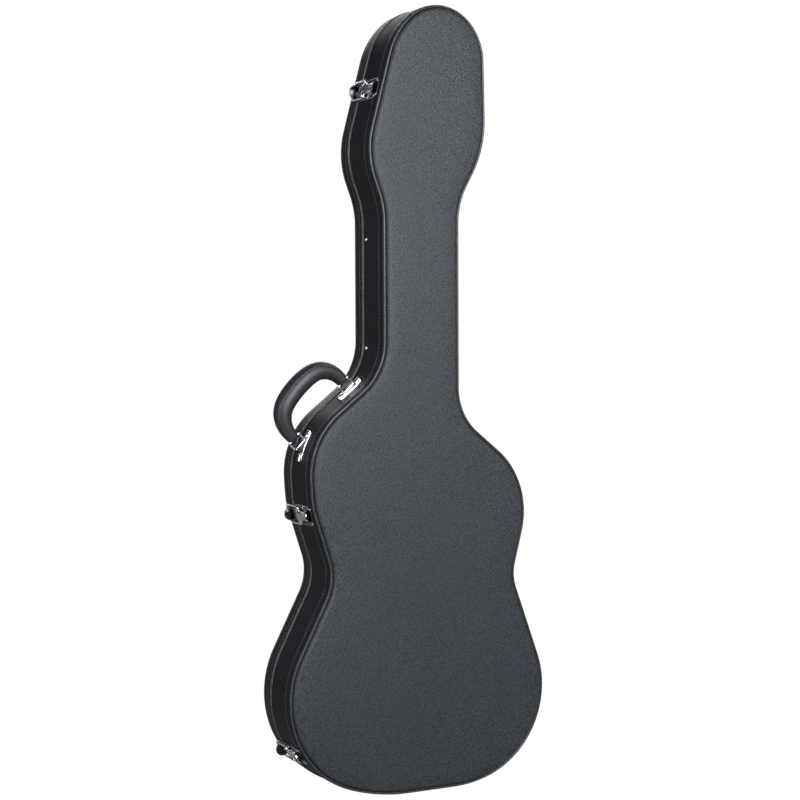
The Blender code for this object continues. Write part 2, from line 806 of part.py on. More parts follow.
def hinges():
    """Two butt hinges on one axis, each resting where its bout comes nearest to the axis."""
    on_axis, normal = hinge_axis()
    outward = (normal.x, 0, normal.y)
    for label, bout in (("lower", LOWER_BOUT), ("upper", UPPER_BOUT)):
        spot = corner_arc(bout)[0] + normal * OUTLINE[bout][2]
        rise = (on_axis - spot).dot(normal)
        origin = (spot.x, SEAM_Y, spot.y)
        frame = local_frame(f"hinge_{label}_frame", origin, (0, 1, 0), outward)
        third = HINGE_WIDTH / 3
        inner = [(third - 2 * KNUCKLE_GAP, 0)]
        hinge_leaf(f"hinge_{label}_base_leaf", -1, frame, rise, inner)
        width, centre = third - KNUCKLE_GAP, third + KNUCKLE_GAP / 2
        outer = [(width, centre), (width, -centre)]
        hinge_leaf(f"hinge_{label}_lid_leaf", 1, frame, rise, outer)
        length = HINGE_WIDTH + 1
        rod(f"hinge_{label}_pin", PIN_RADIUS, length, chrome(), frame, at=(0, rise, 0))


# ---------------------------------------------------------------- studs


def studs():
    """Two domed studs in the wall beside the neck."""
    for label, height in STUD_HEIGHTS.items():
        spot, normal = foot((-60, height))
        origin = (spot.x, SEAM_Y - STUD_UNDER_SEAM, spot.y)
        outward = (normal.x, 0, normal.y)
        frame = local_frame(f"stud_{label}_frame", origin, (0, 1, 0), outward)
        place = (0, GAP + STUD_RISE / 2, 0)
        name = "wall_stud_" + label
        stud = rod(name, STUD_BASE, STUD_RISE, chrome(), frame, at=place, top=STUD_TOP)
        stud.rotation_euler = (math.radians(-90), 0, 0)


def main():
    global parts, cutters
    clear_scene()
    parts = new_collection("guitar_case")
    cutters = new_collection("cutters", hidden=True)
    base_edge, lid_edge = shells()
    valance()
    floor, clear = linings(base_edge, lid_edge)
    cavity = pad_clip(clear)
    body_pads(floor, cavity)
    accessory_box(floor, cavity)
    neck_cradle(floor, cavity)
    wall_cut = slab("wall_cut", [offset_outline(GAP / 2)], -FAR, FAR, None, cutters)
    wall_cut.display_type = "WIRE"
    handle(wall_cut)
    for label, place in LATCH_PLACES.items():
        latch(label, place, wall_cut)
    hinges()
    studs()


main()
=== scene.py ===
"""Looks of the guitar case, in metres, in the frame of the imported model.

Two vinyl-covered shells with piping and stitching, three drawbolt latches, a padded handle, two
hinges, and a plush-lined inside with foam pads, an accessory box and a neck cradle.
"""

import json
import math

import bmesh
import bpy
from mathutils import Matrix, Vector, noise
from mathutils.geometry import delaunay_2d_cdt


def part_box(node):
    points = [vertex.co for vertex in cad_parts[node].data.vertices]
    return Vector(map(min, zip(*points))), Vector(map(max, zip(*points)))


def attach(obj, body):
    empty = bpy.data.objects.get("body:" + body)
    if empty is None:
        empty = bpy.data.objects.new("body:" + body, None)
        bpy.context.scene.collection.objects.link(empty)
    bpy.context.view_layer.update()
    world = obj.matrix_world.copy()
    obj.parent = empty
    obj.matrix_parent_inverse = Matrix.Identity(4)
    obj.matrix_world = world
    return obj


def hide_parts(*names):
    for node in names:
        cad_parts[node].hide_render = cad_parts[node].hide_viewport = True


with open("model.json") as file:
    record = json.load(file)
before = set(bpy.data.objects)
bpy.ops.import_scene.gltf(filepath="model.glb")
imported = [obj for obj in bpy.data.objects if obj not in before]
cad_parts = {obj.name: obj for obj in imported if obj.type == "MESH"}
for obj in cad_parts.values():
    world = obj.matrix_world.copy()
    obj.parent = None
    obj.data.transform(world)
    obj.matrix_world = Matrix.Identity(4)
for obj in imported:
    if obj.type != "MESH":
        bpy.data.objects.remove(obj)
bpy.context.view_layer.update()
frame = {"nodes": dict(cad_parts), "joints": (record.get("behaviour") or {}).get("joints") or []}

MM = 0.001

# Outline of the shells, seen from the back panel: corners (x, z, fillet radius) in millimetres.
OUTLINE = [
    (71, 0, 170),
    (227, 43, 126),
    (140, 283, 57),
    (172, 407, 110),
    (122, 453, 61),
    (57, 506, 77),
    (57, 789, 105),
    (99, 866, 148),
    (96, 1005, 73),
    (39, 1084, 65),
    (-39, 1013, 107),
    (-82, 852, 115),
    (-56, 783, 117),
    (-56, 566, 85),
    (-167, 479, 105),
    (-161, 390, 110),
    (-130, 294, 66),
    (-249, 63, 130),
    (-65, 0, 262),
]
ARC_STEP = math.radians(2.5)
STRAIGHT_STEP = 7 * MM
ROW_SHARE = 0.866

# Shells.
WALL, WALL_CORNER = 5 * MM, 1.2 * MM
GROOVE_HALF, GROOVE_DEEP = 0.8 * MM, 0.12 * MM
LIP_DEPTH, LIP_RISE, LIP_SLOPE, LIP_ROUND = 3 * MM, 0.45 * MM, 1.2 * MM, 0.8 * MM
BEAD_OUT, BEAD_DEPTH, BEAD_RADIUS = 0.2 * MM, 1.3 * MM, 0.75 * MM
PANEL_INSET, PANEL_ROUND = 4.2 * MM, 5 * MM
PANEL_CROWN, PANEL_WAVE, PANEL_CROWN_RUN = 0.8 * MM, 0.35 * MM, 8
WELT_INSET, WELT_RADIUS, BACK_MARGIN = 2 * MM, 1.7 * MM, 6 * MM
SEWN_LINE, STITCH_LENGTH, STITCH_GAP = 12 * MM, 3.4 * MM, 1.6 * MM
THREAD_RADIUS, STITCH_SUNK, STITCH_SIDES = 0.45 * MM, 0.25 * MM, 6

# Linings: offsets of a strip's outer and inner side, and the round of its top.
VALANCE_STRIP = (-5.3 * MM, -7.3 * MM, 1.2 * MM)
BASE_SIDE_STRIP = (-7.6 * MM, -13.4 * MM, 3.2 * MM)
LID_SIDE_STRIP = (-5.3 * MM, -8.2 * MM, 1.6 * MM)
FLOOR_CROWN, FLOOR_WAVE = 0.1 * MM, 0.9 * MM

# Handle: inset from the ring's centre, height over the swing axis, and radius.
GRIP_STATIONS = [
    (0, 15.0, 8.9),
    (0.3, 20, 9.3),
    (1.5, 28, 10.2),
    (6, 38.5, 11.6),
    (15, 48, 12.8),
    (29, 53.4, 13.6),
]
GRIP_CROWN = (55.4, 13.9)
GRIP_SEAM_ANGLE = math.radians(50)
RING_HALF, RING_HEIGHT, RING_WIRE, RING_CORNER = 9.5 * MM, 12 * MM, 1.5 * MM, 2 * MM
EYE_RADIUS, EYE_HALF, EYE_LENGTH = 2.9 * MM, 6.6 * MM, 3.5 * MM
GRIP_SEAM_RADIUS, GRIP_SEAM_RISE = 0.85 * MM, 0.1 * MM

# The brackets' ridge: runs along the axis and its rounded ends (shift, size), in millimetres.
RIDGE_RUNS = ((-21.3, -11.4), (-7.6, 7.6), (11.4, 21.3))
RIDGE_RADIUS, RIDGE_CORE, RIDGE_DROP = 3.7 * MM, 2.9 * MM, 8 * MM
RIDGE_ENDS = ((0, 0.72), (0.35, 0.93), (1.1, 1.0))
RIDGE_LIFTS = {"upper": 2.2 * MM, "lower": 1.4 * MM}
BRACKET_LENGTH, BRACKET_WIDTH, BRACKET_THICK = 43 * MM, 8.2 * MM, 1.2 * MM
BRACKET_CORNER = 3 * MM

# Latches, in a frame on the lever's pivot: x to the lid, y out of the wall, z along it.
LEVER_HALF, LEVER_LENGTH, LEVER_ROOT, LEVER_THICK = 8.5 * MM, 34 * MM, 1 * MM, 1.1 * MM
LEVER_CROWN, LEVER_TURNED_SIDE, LEVER_GROOVE = 1.1 * MM, 1.6 * MM, 0.7 * MM
HASP_BACK, HASP_FRONT, HASP_HALF = -6 * MM, 29 * MM, 12.3 * MM
HASP_WIRE, HASP_CORNER = 1.2 * MM, 3 * MM
LATCH_PLATE_WIDTH, LATCH_CORNER, PLATE_THICK, PIVOT_LIFT = 28 * MM, 6 * MM, 1 * MM, 4.2 * MM
EAR_RADIUS, EAR_MIDDLE, EAR_HALF = 3.2 * MM, 9.5 * MM, 0.6 * MM
CATCH_FROM, CATCH_TO, CATCH_WIDTH, CATCH_CORNER = 2.5 * MM, 17 * MM, 24 * MM, 3 * MM
TONGUE_X, TONGUE_RISE, TONGUE_RADIUS = 9.6 * MM, 3 * MM, 9.5 * MM
TONGUE_RIM, TONGUE_FOOT = 0.8 * MM, 2.6 * MM

# Rivets and studs: places in millimetres along the depth and along the wall.
RIVET_RADIUS, RIVET_RISE, RIVET_LIFT = 1.7 * MM, 0.9 * MM, 1.1 * MM
PLATE_RIVETS = ((-32, -10.6), (-32, 10.6), (10.5, -10.6), (10.5, 10.6))
CATCH_RIVETS = ((30.5, -8), (30.5, 8))
HINGE_RIVETS, HINGE_RIVET_LIFT = ((9, -9), (9, 9), (14, 0)), 1.5 * MM
STUD_RADIUS, STUD_RISE, DOME_SUNK = 3.1 * MM, 1.9 * MM, 0.4 * MM
HALF_SEAM_GAP = 0.3 * MM

# Foam pads: how far they start inside their space, their voxel, and how far they may swell.
PAD_START, PAD_VOXEL, PAD_SWELL, PAD_PRESSURE, PAD_FRAMES = 1.5 * MM, 5 * MM, 6 * MM, 4, 20
BOX_VOXEL, BOX_WALL_START, BOX_LID_START = 2.2 * MM, 0.4 * MM, 0.2 * MM

# Lights: name, place, target, size and power.
LIGHTS = (
    ("key", (-0.15, -1.5, 1.05), (0, 0, 0.7), (1.0, 0.9), 39),
    ("right_front", (2.0, -1.9, 1.5), (0, 0, 0.75), (1.0, 1.4), 12),
    ("left_strip", (-2.3, -1.0, 0.9), (-0.1, 0, 0.6), (0.35, 1.9), 26),
    ("back_strip", (-1.05, 2.0, 0.8), (-0.1, 0, 0.5), (0.45, 1.6), 1.3),
    ("back_fill", (0.8, 2.4, 1.8), (0, 0, 0.55), (1.6, 1.6), 34),
)
AIR_COLOUR, AIR_STRENGTH = (0.9, 0.95, 1.0, 1), 0.07

CAMERA_PLACE = (-1.0694, -2.0770, 0.6252)
CAMERA_TURN = (87.563, 0.261, -27.031)
CAMERA_LENS = 77.616

LATCH_LABELS = ("top", "middle", "bottom")
PAIR_LABELS = ("upper", "lower")
# Pebble tops lighter and creases darker than the vinyl's colour: painted light and painted shade on the
# grain.
PEBBLE_TOP_PAINTED_LIGHT, PEBBLE_CREASE_PAINTED_SHADE = 1.5, 0.42


# ---- node materials


def node_material(name, metallic=0.0):
    """An empty Principled material, its node tree's adder and its linker."""
    made = bpy.data.materials.new(name)
    made.use_nodes = True
    tree = made.node_tree
    shader = tree.nodes["Principled BSDF"]
    shader.inputs["Metallic"].default_value = metallic

    def add(kind, **values):
        node = tree.nodes.new(kind)
        for key, value in values.items():
            if key in node.inputs:
                node.inputs[key].default_value = value
            else:
                setattr(node, key, value)
        return node

    return made, shader, add, tree.links.new


def place_noise(add, join, scale, detail=3.0, stretch=None):
    """Noise over the object's own coordinates."""
    where = add("ShaderNodeTexCoord")
    source = where.outputs["Object"]
    if stretch:
        mapping = add("ShaderNodeMapping")
        mapping.inputs["Scale"].default_value = stretch
        join(source, mapping.inputs["Vector"])
        source = mapping.outputs["Vector"]
    made = add("ShaderNodeTexNoise", Scale=scale, Detail=detail)
    join(source, made.inputs["Vector"])
    return made.outputs["Fac"]


def ramp(add, join, source, low, high, first, second):
    """Two colours or values spread over a range of the source."""
    made = add("ShaderNodeValToRGB")
    made.color_ramp.elements[0].position = low
    made.color_ramp.elements[1].position = high
    made.color_ramp.elements[0].color = first
    made.color_ramp.elements[1].color = second
    join(source, made.inputs["Fac"])
    return made.outputs["Color"]


def emboss(add, join, shader, height, **settings):
    """Bump the surface by a height."""
    bump = add("ShaderNodeBump", **settings)
    join(height, bump.inputs["Height"])
    join(bump.outputs["Normal"], shader.inputs["Normal"])


def shade(colour, factor):
    """A colour made lighter or darker by a factor, with its alpha."""
    return (*(min(1.0, c * factor) for c in colour), 1)


def grey(value):
    """A grey colour, with its alpha."""
    return (value, value, value, 1)


def vinyl(name, colour, grain, depth, rough, shine=0.5):
    """Embossed vinyl: pebbles of a grain size in metres with painted light on their tops and painted
    shade in the creases between them, a broad colour drift and uneven gloss.
    """
    made, shader, add, join = node_material(name)
    where = add("ShaderNodeTexCoord").outputs["Object"]
    warp = add("ShaderNodeTexNoise", Scale=0.6 / grain, Detail=2.0)
    join(where, warp.inputs["Vector"])
    mixed = add("ShaderNodeVectorMath", operation="MULTIPLY_ADD")
    mixed.inputs[1].default_value = (grain * 0.8,) * 3
    join(warp.outputs["Color"], mixed.inputs[0])
    join(where, mixed.inputs[2])
    cells = add("ShaderNodeTexVoronoi", feature="SMOOTH_F1", Scale=1 / grain, Smoothness=0.35)
    join(mixed.outputs["Vector"], cells.inputs["Vector"])
    fine = place_noise(add, join, 2.4 / grain, 4.0)
    height = add("ShaderNodeMath", operation="MULTIPLY_ADD")
    height.inputs[1].default_value = 0.45
    join(fine, height.inputs[0])
    join(cells.outputs["Distance"], height.inputs[2])
    emboss(add, join, shader, height.outputs["Value"], Strength=0.85, Distance=depth, invert=True)
    # The pebble tones paint shade into the creases and light onto the tops, following the bumped grain.
    light, crease_shade = shade(colour, PEBBLE_TOP_PAINTED_LIGHT), shade(colour, PEBBLE_CREASE_PAINTED_SHADE)
    pebble_tone_and_crease_shade = ramp(add, join, cells.outputs["Distance"], 0.18, 0.66, light, crease_shade)
    drift = ramp(add, join, place_noise(add, join, 5.0), 0.3, 0.7, grey(0.86), grey(1.0))
    tone = add("ShaderNodeMix", data_type="RGBA", blend_type="MULTIPLY")
    tone.inputs["Factor"].default_value = 1.0
    join(pebble_tone_and_crease_shade, tone.inputs["A"])
    join(drift, tone.inputs["B"])
    join(tone.outputs["Result"], shader.inputs["Base Color"])
    gloss = ramp(add, join, fine, 0.3, 0.7, grey(rough - 0.07), grey(rough + 0.09))
    join(gloss, shader.inputs["Roughness"])
    shader.inputs["Specular IOR Level"].default_value = shine
    return made


def plush(name, colour):
    """Short pile: soft clumps, a sheen at grazing angles, and brushed streaks."""
    made, shader, add, join = node_material(name)
    pile = place_noise(add, join, 900.0, 5.0)
    brushed = place_noise(add, join, 38.0, 3.0)
    emboss(add, join, shader, pile, Strength=0.9, Distance=0.7 * MM)
    tone = ramp(add, join, brushed, 0.35, 0.68, shade(colour, 0.6), shade(colour, 1.35))
    join(tone, shader.inputs["Base Color"])
    gloss = ramp(add, join, pile, 0.2, 0.8, grey(0.8), grey(1.0))
    join(gloss, shader.inputs["Roughness"])
    shader.inputs["Sheen Weight"].default_value = 0.55
    shader.inputs["Sheen Roughness"].default_value = 0.4
    shader.inputs["Sheen Tint"].default_value = (0.75, 0.78, 0.85, 1)
    return made


def chrome(name, colour, rough, stretch):
    """Plated metal with fine polishing marks and a little uneven gloss."""
    made, shader, add, join = node_material(name, metallic=1.0)
    marks = place_noise(add, join, 160.0, 6.0, stretch)
    cloud = place_noise(add, join, 45.0, 2.0)
    emboss(add, join, shader, marks, Strength=0.12, Distance=0.08 * MM)
    tone = ramp(add, join, cloud, 0.3, 0.75, shade(colour, 0.9), shade(colour, 1.05))
    join(tone, shader.inputs["Base Color"])
    gloss = ramp(add, join, marks, 0.25, 0.8, grey(rough), grey(rough + 0.14))
    join(gloss, shader.inputs["Roughness"])
    return made


def thread(name, colour):
    """Twisted sewing thread."""
    made, shader, add, join = node_material(name)
    where = add("ShaderNodeTexCoord")
    twist = add("ShaderNodeTexWave", Scale=900.0, Distortion=1.5, bands_direction="DIAGONAL")
    join(where.outputs["Object"], twist.inputs["Vector"])
    emboss(add, join, shader, twist.outputs["Fac"], Strength=0.6, Distance=0.12 * MM)
    tone = ramp(add, join, twist.outputs["Fac"], 0.1, 0.9, shade(colour, 0.7), shade(colour, 1.2))
    join(tone, shader.inputs["Base Color"])
    shader.inputs["Roughness"].default_value = 0.6
    return made


LOOKS = {
    "wall": vinyl("wall_vinyl", (0.0095, 0.011, 0.0142), 1.3 * MM, 0.1 * MM, 0.5, 0.22),
    "panel": vinyl("panel_vinyl", (0.034, 0.039, 0.048), 1.6 * MM, 0.45 * MM, 0.43, 0.34),
    "piping": vinyl("piping_vinyl", (0.042, 0.045, 0.05), 1.6 * MM, 0.05 * MM, 0.3, 0.46),
    # The seam bead's light grey is a painted highlight: it stands in for the bright line along the
    # seam.
    "bead": vinyl("bead_vinyl_painted_highlight", (0.12, 0.125, 0.135), 1.6 * MM, 0.03 * MM, 0.3, 0.5),
    "grip": vinyl("handle_vinyl", (0.017, 0.0195, 0.0245), 1.0 * MM, 0.06 * MM, 0.46, 0.52),
    "valance": vinyl("valance_vinyl", (0.012, 0.012, 0.013), 1.0 * MM, 0.1 * MM, 0.55),
    "plush": plush("black_plush", (0.014, 0.014, 0.016)),
    "chrome": chrome("chrome_plate", (0.82, 0.83, 0.85), 0.1, (1.0, 6.0, 1.0)),
    "dark_chrome": chrome("dark_chrome_plate", (0.2, 0.21, 0.23), 0.12, (1.0, 5.0, 1.0)),
    "black_chrome": chrome("black_chrome_plate", (0.05, 0.053, 0.06), 0.14, (1.0, 5.0, 1.0)),
    "steel": chrome("hinge_steel", (0.62, 0.62, 0.62), 0.2, (1.0, 1.0, 5.0)),
    "thread": thread("sewing_thread", (0.2, 0.205, 0.215)),
}


# ---- meshes and pieces


def add_object(name, mesh, look, angle=40):
    """A mesh object in the scene, with its faces turned outward and smooth shading."""
    mesh.materials.clear()
    mesh.materials.append(LOOKS[look])
    mesh.shade_smooth()
    mesh.set_sharp_from_angle(angle=math.radians(angle))
    obj = bpy.data.objects.new(name, mesh)
    bpy.context.scene.collection.objects.link(obj)
    return obj


def build(name, look, fill, angle=40):
    """An object whose mesh is made by fill(bmesh)."""
    mesh = bpy.data.meshes.new(name)
    work = bmesh.new()
    fill(work)
    bmesh.ops.recalc_face_normals(work, faces=work.faces)
    work.to_mesh(mesh)
    work.free()
    return add_object(name, mesh, look, angle)


def keep(obj, body, slot, *nodes):
    """Let a finished piece ride on a body and stand for CAD nodes; the slot is not used."""
    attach(obj, body)
    if nodes:
        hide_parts(*nodes)
    return obj


def vertices(work, rings):
    """A vertex at each point of each ring."""
    return [[work.verts.new(point) for point in ring] for ring in rings]


def bridge(work, rings):
    """Quads between consecutive rings of vertices."""
    size = len(rings[0])
    for here, there in zip(rings, rings[1:]):
        for j in range(size):
            k = (j + 1) % size
            work.faces.new((here[j], here[k], there[k], there[j]))


def skin(work, rings, closed=False):
    """A solid through rings of points: joined end to end, or capped at both ends."""
    made = vertices(work, rings)
    bridge(work, made + made[:1] if closed else made)
    if not closed:
        work.faces.new(made[0])
        work.faces.new(made[-1])


def turns(sides):
    """Angles in radians, evenly spaced round a circle."""
    return [2 * math.pi * side / sides for side in range(sides)]


def arc(centre, radius, first, last, steps):
    """Points of an arc between two angles in degrees."""
    angles = [math.radians(first + (last - first) * step / steps) for step in range(steps + 1)]
    return [(centre[0] + radius * math.cos(a), centre[1] + radius * math.sin(a)) for a in angles]


def tube(work, path, radius, sides=10, closed=False):
    """A round tube along points, each ring square to the path."""
    count = len(path)
    rings = []
    up = None
    for index, point in enumerate(path):
        before = path[index - 1] if closed or index else point
        after = path[(index + 1) % count] if closed or index < count - 1 else point
        along = (Vector(after) - Vector(before)).normalized()
        if up is None:
            up = along.orthogonal()
        up = (up - along * up.dot(along)).normalized()
        side = along.cross(up)
        spokes = [(up * math.cos(t) + side * math.sin(t)) * radius for t in turns(sides)]
        rings.append([Vector(point) + spoke for spoke in spokes])
    skin(work, rings, closed)


def dome(work, matrix, radius, rise, sides=16, rings=4):
    """A domed rivet head standing on the matrix's XY plane."""
    climb = [math.pi / 2 * step / rings for step in range(rings)]
    levels = [(radius, -DOME_SUNK)] + [(radius * math.cos(a), rise * math.sin(a)) for a in climb]
    circles = []
    for r, z in levels:
        circle = [Vector((r * math.cos(t), r * math.sin(t), z)) for t in turns(sides)]
        circles.append([matrix @ point for point in circle])
    made = vertices(work, circles)
    bridge(work, made)
    tip = work.verts.new(matrix @ Vector((0, 0, rise)))
    for j in range(sides):
        work.faces.new((made[-1][j], made[-1][(j + 1) % sides], tip))
    work.faces.new(made[0])


def stitch(work, centre, along, out, length, radius):
    """One sewn stitch: a lens of thread half sunk in the vinyl."""
    side = along.cross(out)
    rings = []
    for share, girth in ((-0.72, 0.75), (0, 1.0), (0.72, 0.75)):
        middle = centre + along * share * length / 2
        spokes = [out * math.cos(t) + side * math.sin(t) for t in turns(STITCH_SIDES)]
        rings.append([middle + spoke * radius * girth for spoke in spokes])
    made = vertices(work, rings)
    bridge(work, made)
    for ring, sign in ((made[0], -1), (made[-1], 1)):
        tip = work.verts.new(centre + along * sign * length / 2 - out * radius)
        for j in range(STITCH_SIDES):
            work.faces.new((ring[j], ring[(j + 1) % STITCH_SIDES], tip))


# ---- outline


def fillet(before, corner, after, radius):
    """The arc that rounds a corner: its centre, its start and its signed sweep."""
    into = (corner - before).normalized()
    out = (after - corner).normalized()
    side = 1 if into.x * out.y - into.y * out.x > 0 else -1
    turn = math.acos(max(-1, min(1, into.dot(out))))
    start = corner - into * radius * math.tan(turn / 2)
    centre = start + Vector((-into.y, into.x)) * radius * side
    return centre, start, side * turn


def outline_ring():
    """Points (x, z) of the outline with their outward normals, close together all the way round."""
    found = []
    count = len(OUTLINE)
    for index, (x, z, radius) in enumerate(OUTLINE):
        corners = [Vector(OUTLINE[i % count][:2]) * MM for i in (index - 1, index, index + 1)]
        centre, start, sweep = fillet(*corners, radius * MM)
        if found:
            found += straight(found[-1][0], start, found[-1][1])
        steps = max(3, round(abs(sweep) / ARC_STEP))
        for step in range(steps + 1):
            spoke = start - centre
            spoke.rotate(Matrix.Rotation(sweep * step / steps, 2))
            normal = spoke.normalized() * (1 if sweep > 0 else -1)
            found.append((centre + spoke, normal))
    return found + straight(found[-1][0], found[0][0], found[-1][1])


def straight(start, end, normal):
    """Points between two ends of a straight stretch, leaving out the ends."""
    steps = round((end - start).length / STRAIGHT_STEP)
    return [(start.lerp(end, step / steps), normal) for step in range(1, steps)]


RING = outline_ring()


def at(ring_point, out, y):
    """A point of the outline moved out by a distance, at a depth y."""
    point, normal = ring_point
    return Vector((point.x + normal.x * out, y, point.y + normal.y * out))


def spots(gap):
    """Places spaced evenly round the outline: point, outward normal and direction along it."""
    found = []
    left = 0.0
    for (a, normal_a), (b, normal_b) in zip(RING, RING[1:] + RING[:1]):
        run = (b - a).length
        while left < run:
            share = left / run
            normal = normal_a.lerp(normal_b, share).normalized()
            found.append((a.lerp(b, share), normal, (b - a).normalized()))
            left += gap
        left -= run
    return found


def foot(place):
    """The foot of a place (x, z) on the outline: its point and outward normal."""
    place = Vector(place)
    index = min(range(len(RING)), key=lambda i: (RING[i][0] - place).length)
    point, normal = RING[index]
    along = Vector((-normal.y, normal.x))
    return point + along * (place - point).dot(along), normal


# ---- shells


def sweep(name, section, look, ripple=None, angle=40):
    """A section of (outward offset, y) carried round the outline as a closed solid."""
    def fill(work):
        rings = []
        for ring_point in RING:
            ring = [at(ring_point, out, y) for out, y in section]
            if ripple:
                ring = [point + ripple(point, ring_point[1]) for point in ring]
            rings.append(ring)
        skin(work, rings, closed=True)

    return build(name, look, fill, angle)


def wall_section(edge, seam):
    """The wall from its panel's edge to the seam, with a sewn groove and a rolled lip at the seam."""
    way = 1 if seam > edge else -1
    corner, lip, groove = WALL_CORNER, LIP_ROUND, edge + way * SEWN_LINE
    outer = [
        (-corner, edge),
        (-0.35 * corner, edge + way * 0.3 * corner),
        (0, edge + way * corner),
        (0, groove - way * GROOVE_HALF),
        (-GROOVE_DEEP, groove),
        (0, groove + way * GROOVE_HALF),
        (0, seam - way * (LIP_DEPTH + LIP_SLOPE)),
        (0.3 * LIP_RISE, seam - way * LIP_DEPTH),
        (LIP_RISE, seam - way * (LIP_DEPTH - LIP_SLOPE)),
    ]
    bend = arc((-lip, 0), lip, 0, 90, 5)
    outer += [(out + LIP_RISE, seam - way * lip + way * deep) for out, deep in bend]
    inner = [
        (-WALL + lip, seam),
        (-WALL, seam - way * lip),
        (-WALL, edge),
    ]
    return outer + inner


def welt_section(y):
    """The round section of the piping."""
    return arc((-WELT_INSET, y), WELT_RADIUS, 0, 345, 15)


def inside(loop, x, z):
    """Whether a point is inside a closed loop of points."""
    hit = False
    for a, b in zip(loop, loop[1:] + loop[:1]):
        if (a[1] > z) != (b[1] > z) and x < a[0] + (z - a[1]) * (b[0] - a[0]) / (b[1] - a[1]):
            hit = not hit
    return hit


def grid_inside(loop, gap):
    """Points of a staggered grid inside a loop, clear of its edge."""
    xs = [point[0] for point in loop]
    zs = [point[1] for point in loop]
    rows = int((max(zs) - min(zs)) / (gap * ROW_SHARE)) + 1
    found = []
    for row in range(rows):
        z = min(zs) + (row + 0.5) * gap * ROW_SHARE
        x = min(xs) + (row % 2) * gap / 2
        while x < max(xs):
            near = min((x - a) ** 2 + (z - b) ** 2 for a, b in loop[::2])
            if near > (0.7 * gap) ** 2 and inside(loop, x, z):
                found.append((x, z))
            x += gap
    return found


def sheet(name, look, border, y_at, back_y, gap=9 * MM, angle=40):
    """A closed panel: border rings of (offset, y) from its back edge inwards, then an even face."""
    def fill(work):
        size = len(RING)
        rings = vertices(work, [[at(spot, out, y) for spot in RING] for out, y in border])
        bridge(work, rings)
        loop = [(v.co.x, v.co.z) for v in rings[-1]]
        points = loop + grid_inside(loop, gap)
        flat = [Vector(point) * 1000 for point in points]
        made = delaunay_2d_cdt(flat, [], [list(range(size))], 1, 1e-4)
        verts = list(rings[-1])
        for x, z in points[size:]:
            verts.append(work.verts.new((x, y_at(x, z), z)))
        place = {}
        for new, olds in enumerate(made[3]):
            place[new] = verts[olds[0]]
        for face in made[2]:
            work.faces.new([place[v] for v in face])
        back_out = border[0][0] - BACK_MARGIN
        back = [work.verts.new(at(spot, back_out, back_y)) for spot in RING]
        bridge(work, [rings[0], back])
        work.faces.new(back)

    return build(name, look, fill, angle)


def crowned(face_y, way, crown, wave):
    """Depth of a padded face: a low crown with slow waves."""
    def y_at(x, z):
        swell = noise.noise(Vector((x, 0, z)) * 9) * wave
        return face_y + way * (crown + swell)

    return y_at


def panel(name, node, way):
    """The flat panel of a shell: a rounded rim and a slightly padded face; way is its outer side."""
    low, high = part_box(node)
    face, back = (low.y, high.y) if way < 0 else (high.y, low.y)
    thick = abs(face - back)
    border = [(-PANEL_INSET, back), (-PANEL_INSET, back + way * 0.5 * (thick - PANEL_ROUND))]
    bend = arc((-PANEL_INSET - PANEL_ROUND, thick - PANEL_ROUND), PANEL_ROUND, 0, 90, 7)
    border += [(out, back + way * deep) for out, deep in bend]
    for run in (3, 7, 13, 21):
        rise = PANEL_CROWN * (1 - math.exp(-run / PANEL_CROWN_RUN))
        border.append((-PANEL_INSET - PANEL_ROUND - run * MM, face + way * rise))
    y_at = crowned(face, way, PANEL_CROWN, PANEL_WAVE)
    return sheet(name, "panel", border, y_at, back)


def stitching(name, y):
    """A row of stitches round a wall."""
    def fill(work):
        for point, normal, along in spots(STITCH_LENGTH + STITCH_GAP):
            out = Vector((normal.x, 0, normal.y))
            centre = Vector((point.x, y, point.y)) - out * STITCH_SUNK
            stitch(work, centre, Vector((along.x, 0, along.y)), out, STITCH_LENGTH, THREAD_RADIUS)

    return build(name, "thread", fill, 80)


def strips(body):
    """The CAD nodes of one shell's bent wall."""
    parts = ("lower", "upper", "neck")
    return [f"{body}_rim_{side}_{part}" for side in ("left", "right") for part in parts]


def shells():
    """Wall, seam bead, stitches, panel and piping of the base and the lid."""
    for body, way in (("base", -1), ("lid", 1)):
        low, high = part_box(strips(body)[0])
        edge, seam = (low.y, high.y) if way < 0 else (high.y, low.y)
        wall = sweep(body + "_wall", wall_section(edge, seam), "wall")
        keep(wall, body, "shell_vinyl", *strips(body))
        bead_section = arc((BEAD_OUT, seam + way * BEAD_DEPTH), BEAD_RADIUS, 0, 324, 9)
        bead = sweep(body + "_seam_bead", bead_section, "bead", angle=70)
        keep(bead, body, "shell_vinyl")
        sewn = stitching(body + "_wall_stitching", edge - way * SEWN_LINE)
        keep(sewn, body, "shell_vinyl")
        face = panel(body + "_panel_cover", body + "_panel", way)
        keep(face, body, "panel_vinyl", body + "_panel")
        low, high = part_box(body + "_welt")
        cord = sweep(body + "_piping", welt_section((low.y + high.y) / 2), "piping", angle=60)
        keep(cord, body, "piping", body + "_welt")


# ---- lining


def pucker(depth, pitch=26.0):
    """Small sideways gathers, as in cloth pulled round a bend."""
    def ripple(point, normal):
        size = noise.noise(point * pitch) * depth + noise.noise(point * pitch * 2.7) * depth * 0.4
        return Vector((normal.x, 0, normal.y)) * size

    return ripple


def padded_section(outer, inner, round_top, bottom, top):
    """A strip standing on its lower end: flat outside, rounded top, a soft inner face."""
    middle = (outer + inner) / 2
    half = (outer - inner) / 2
    way = 1 if top > bottom else -1
    edge = top - way * round_top
    crest = [(middle + a, edge + way * b * round_top / half) for a, b in arc((0, 0), half, 0, 180, 8)]
    steps = 7
    face = []
    for step in range(1, steps):
        share = step / steps
        swell = math.sin(math.pi * share) * 0.5 * MM
        face.append((inner - swell, edge + (bottom - edge) * share))
    return [(outer, bottom), (outer, (bottom + edge) / 2)] + crest + face + [(inner, bottom)]


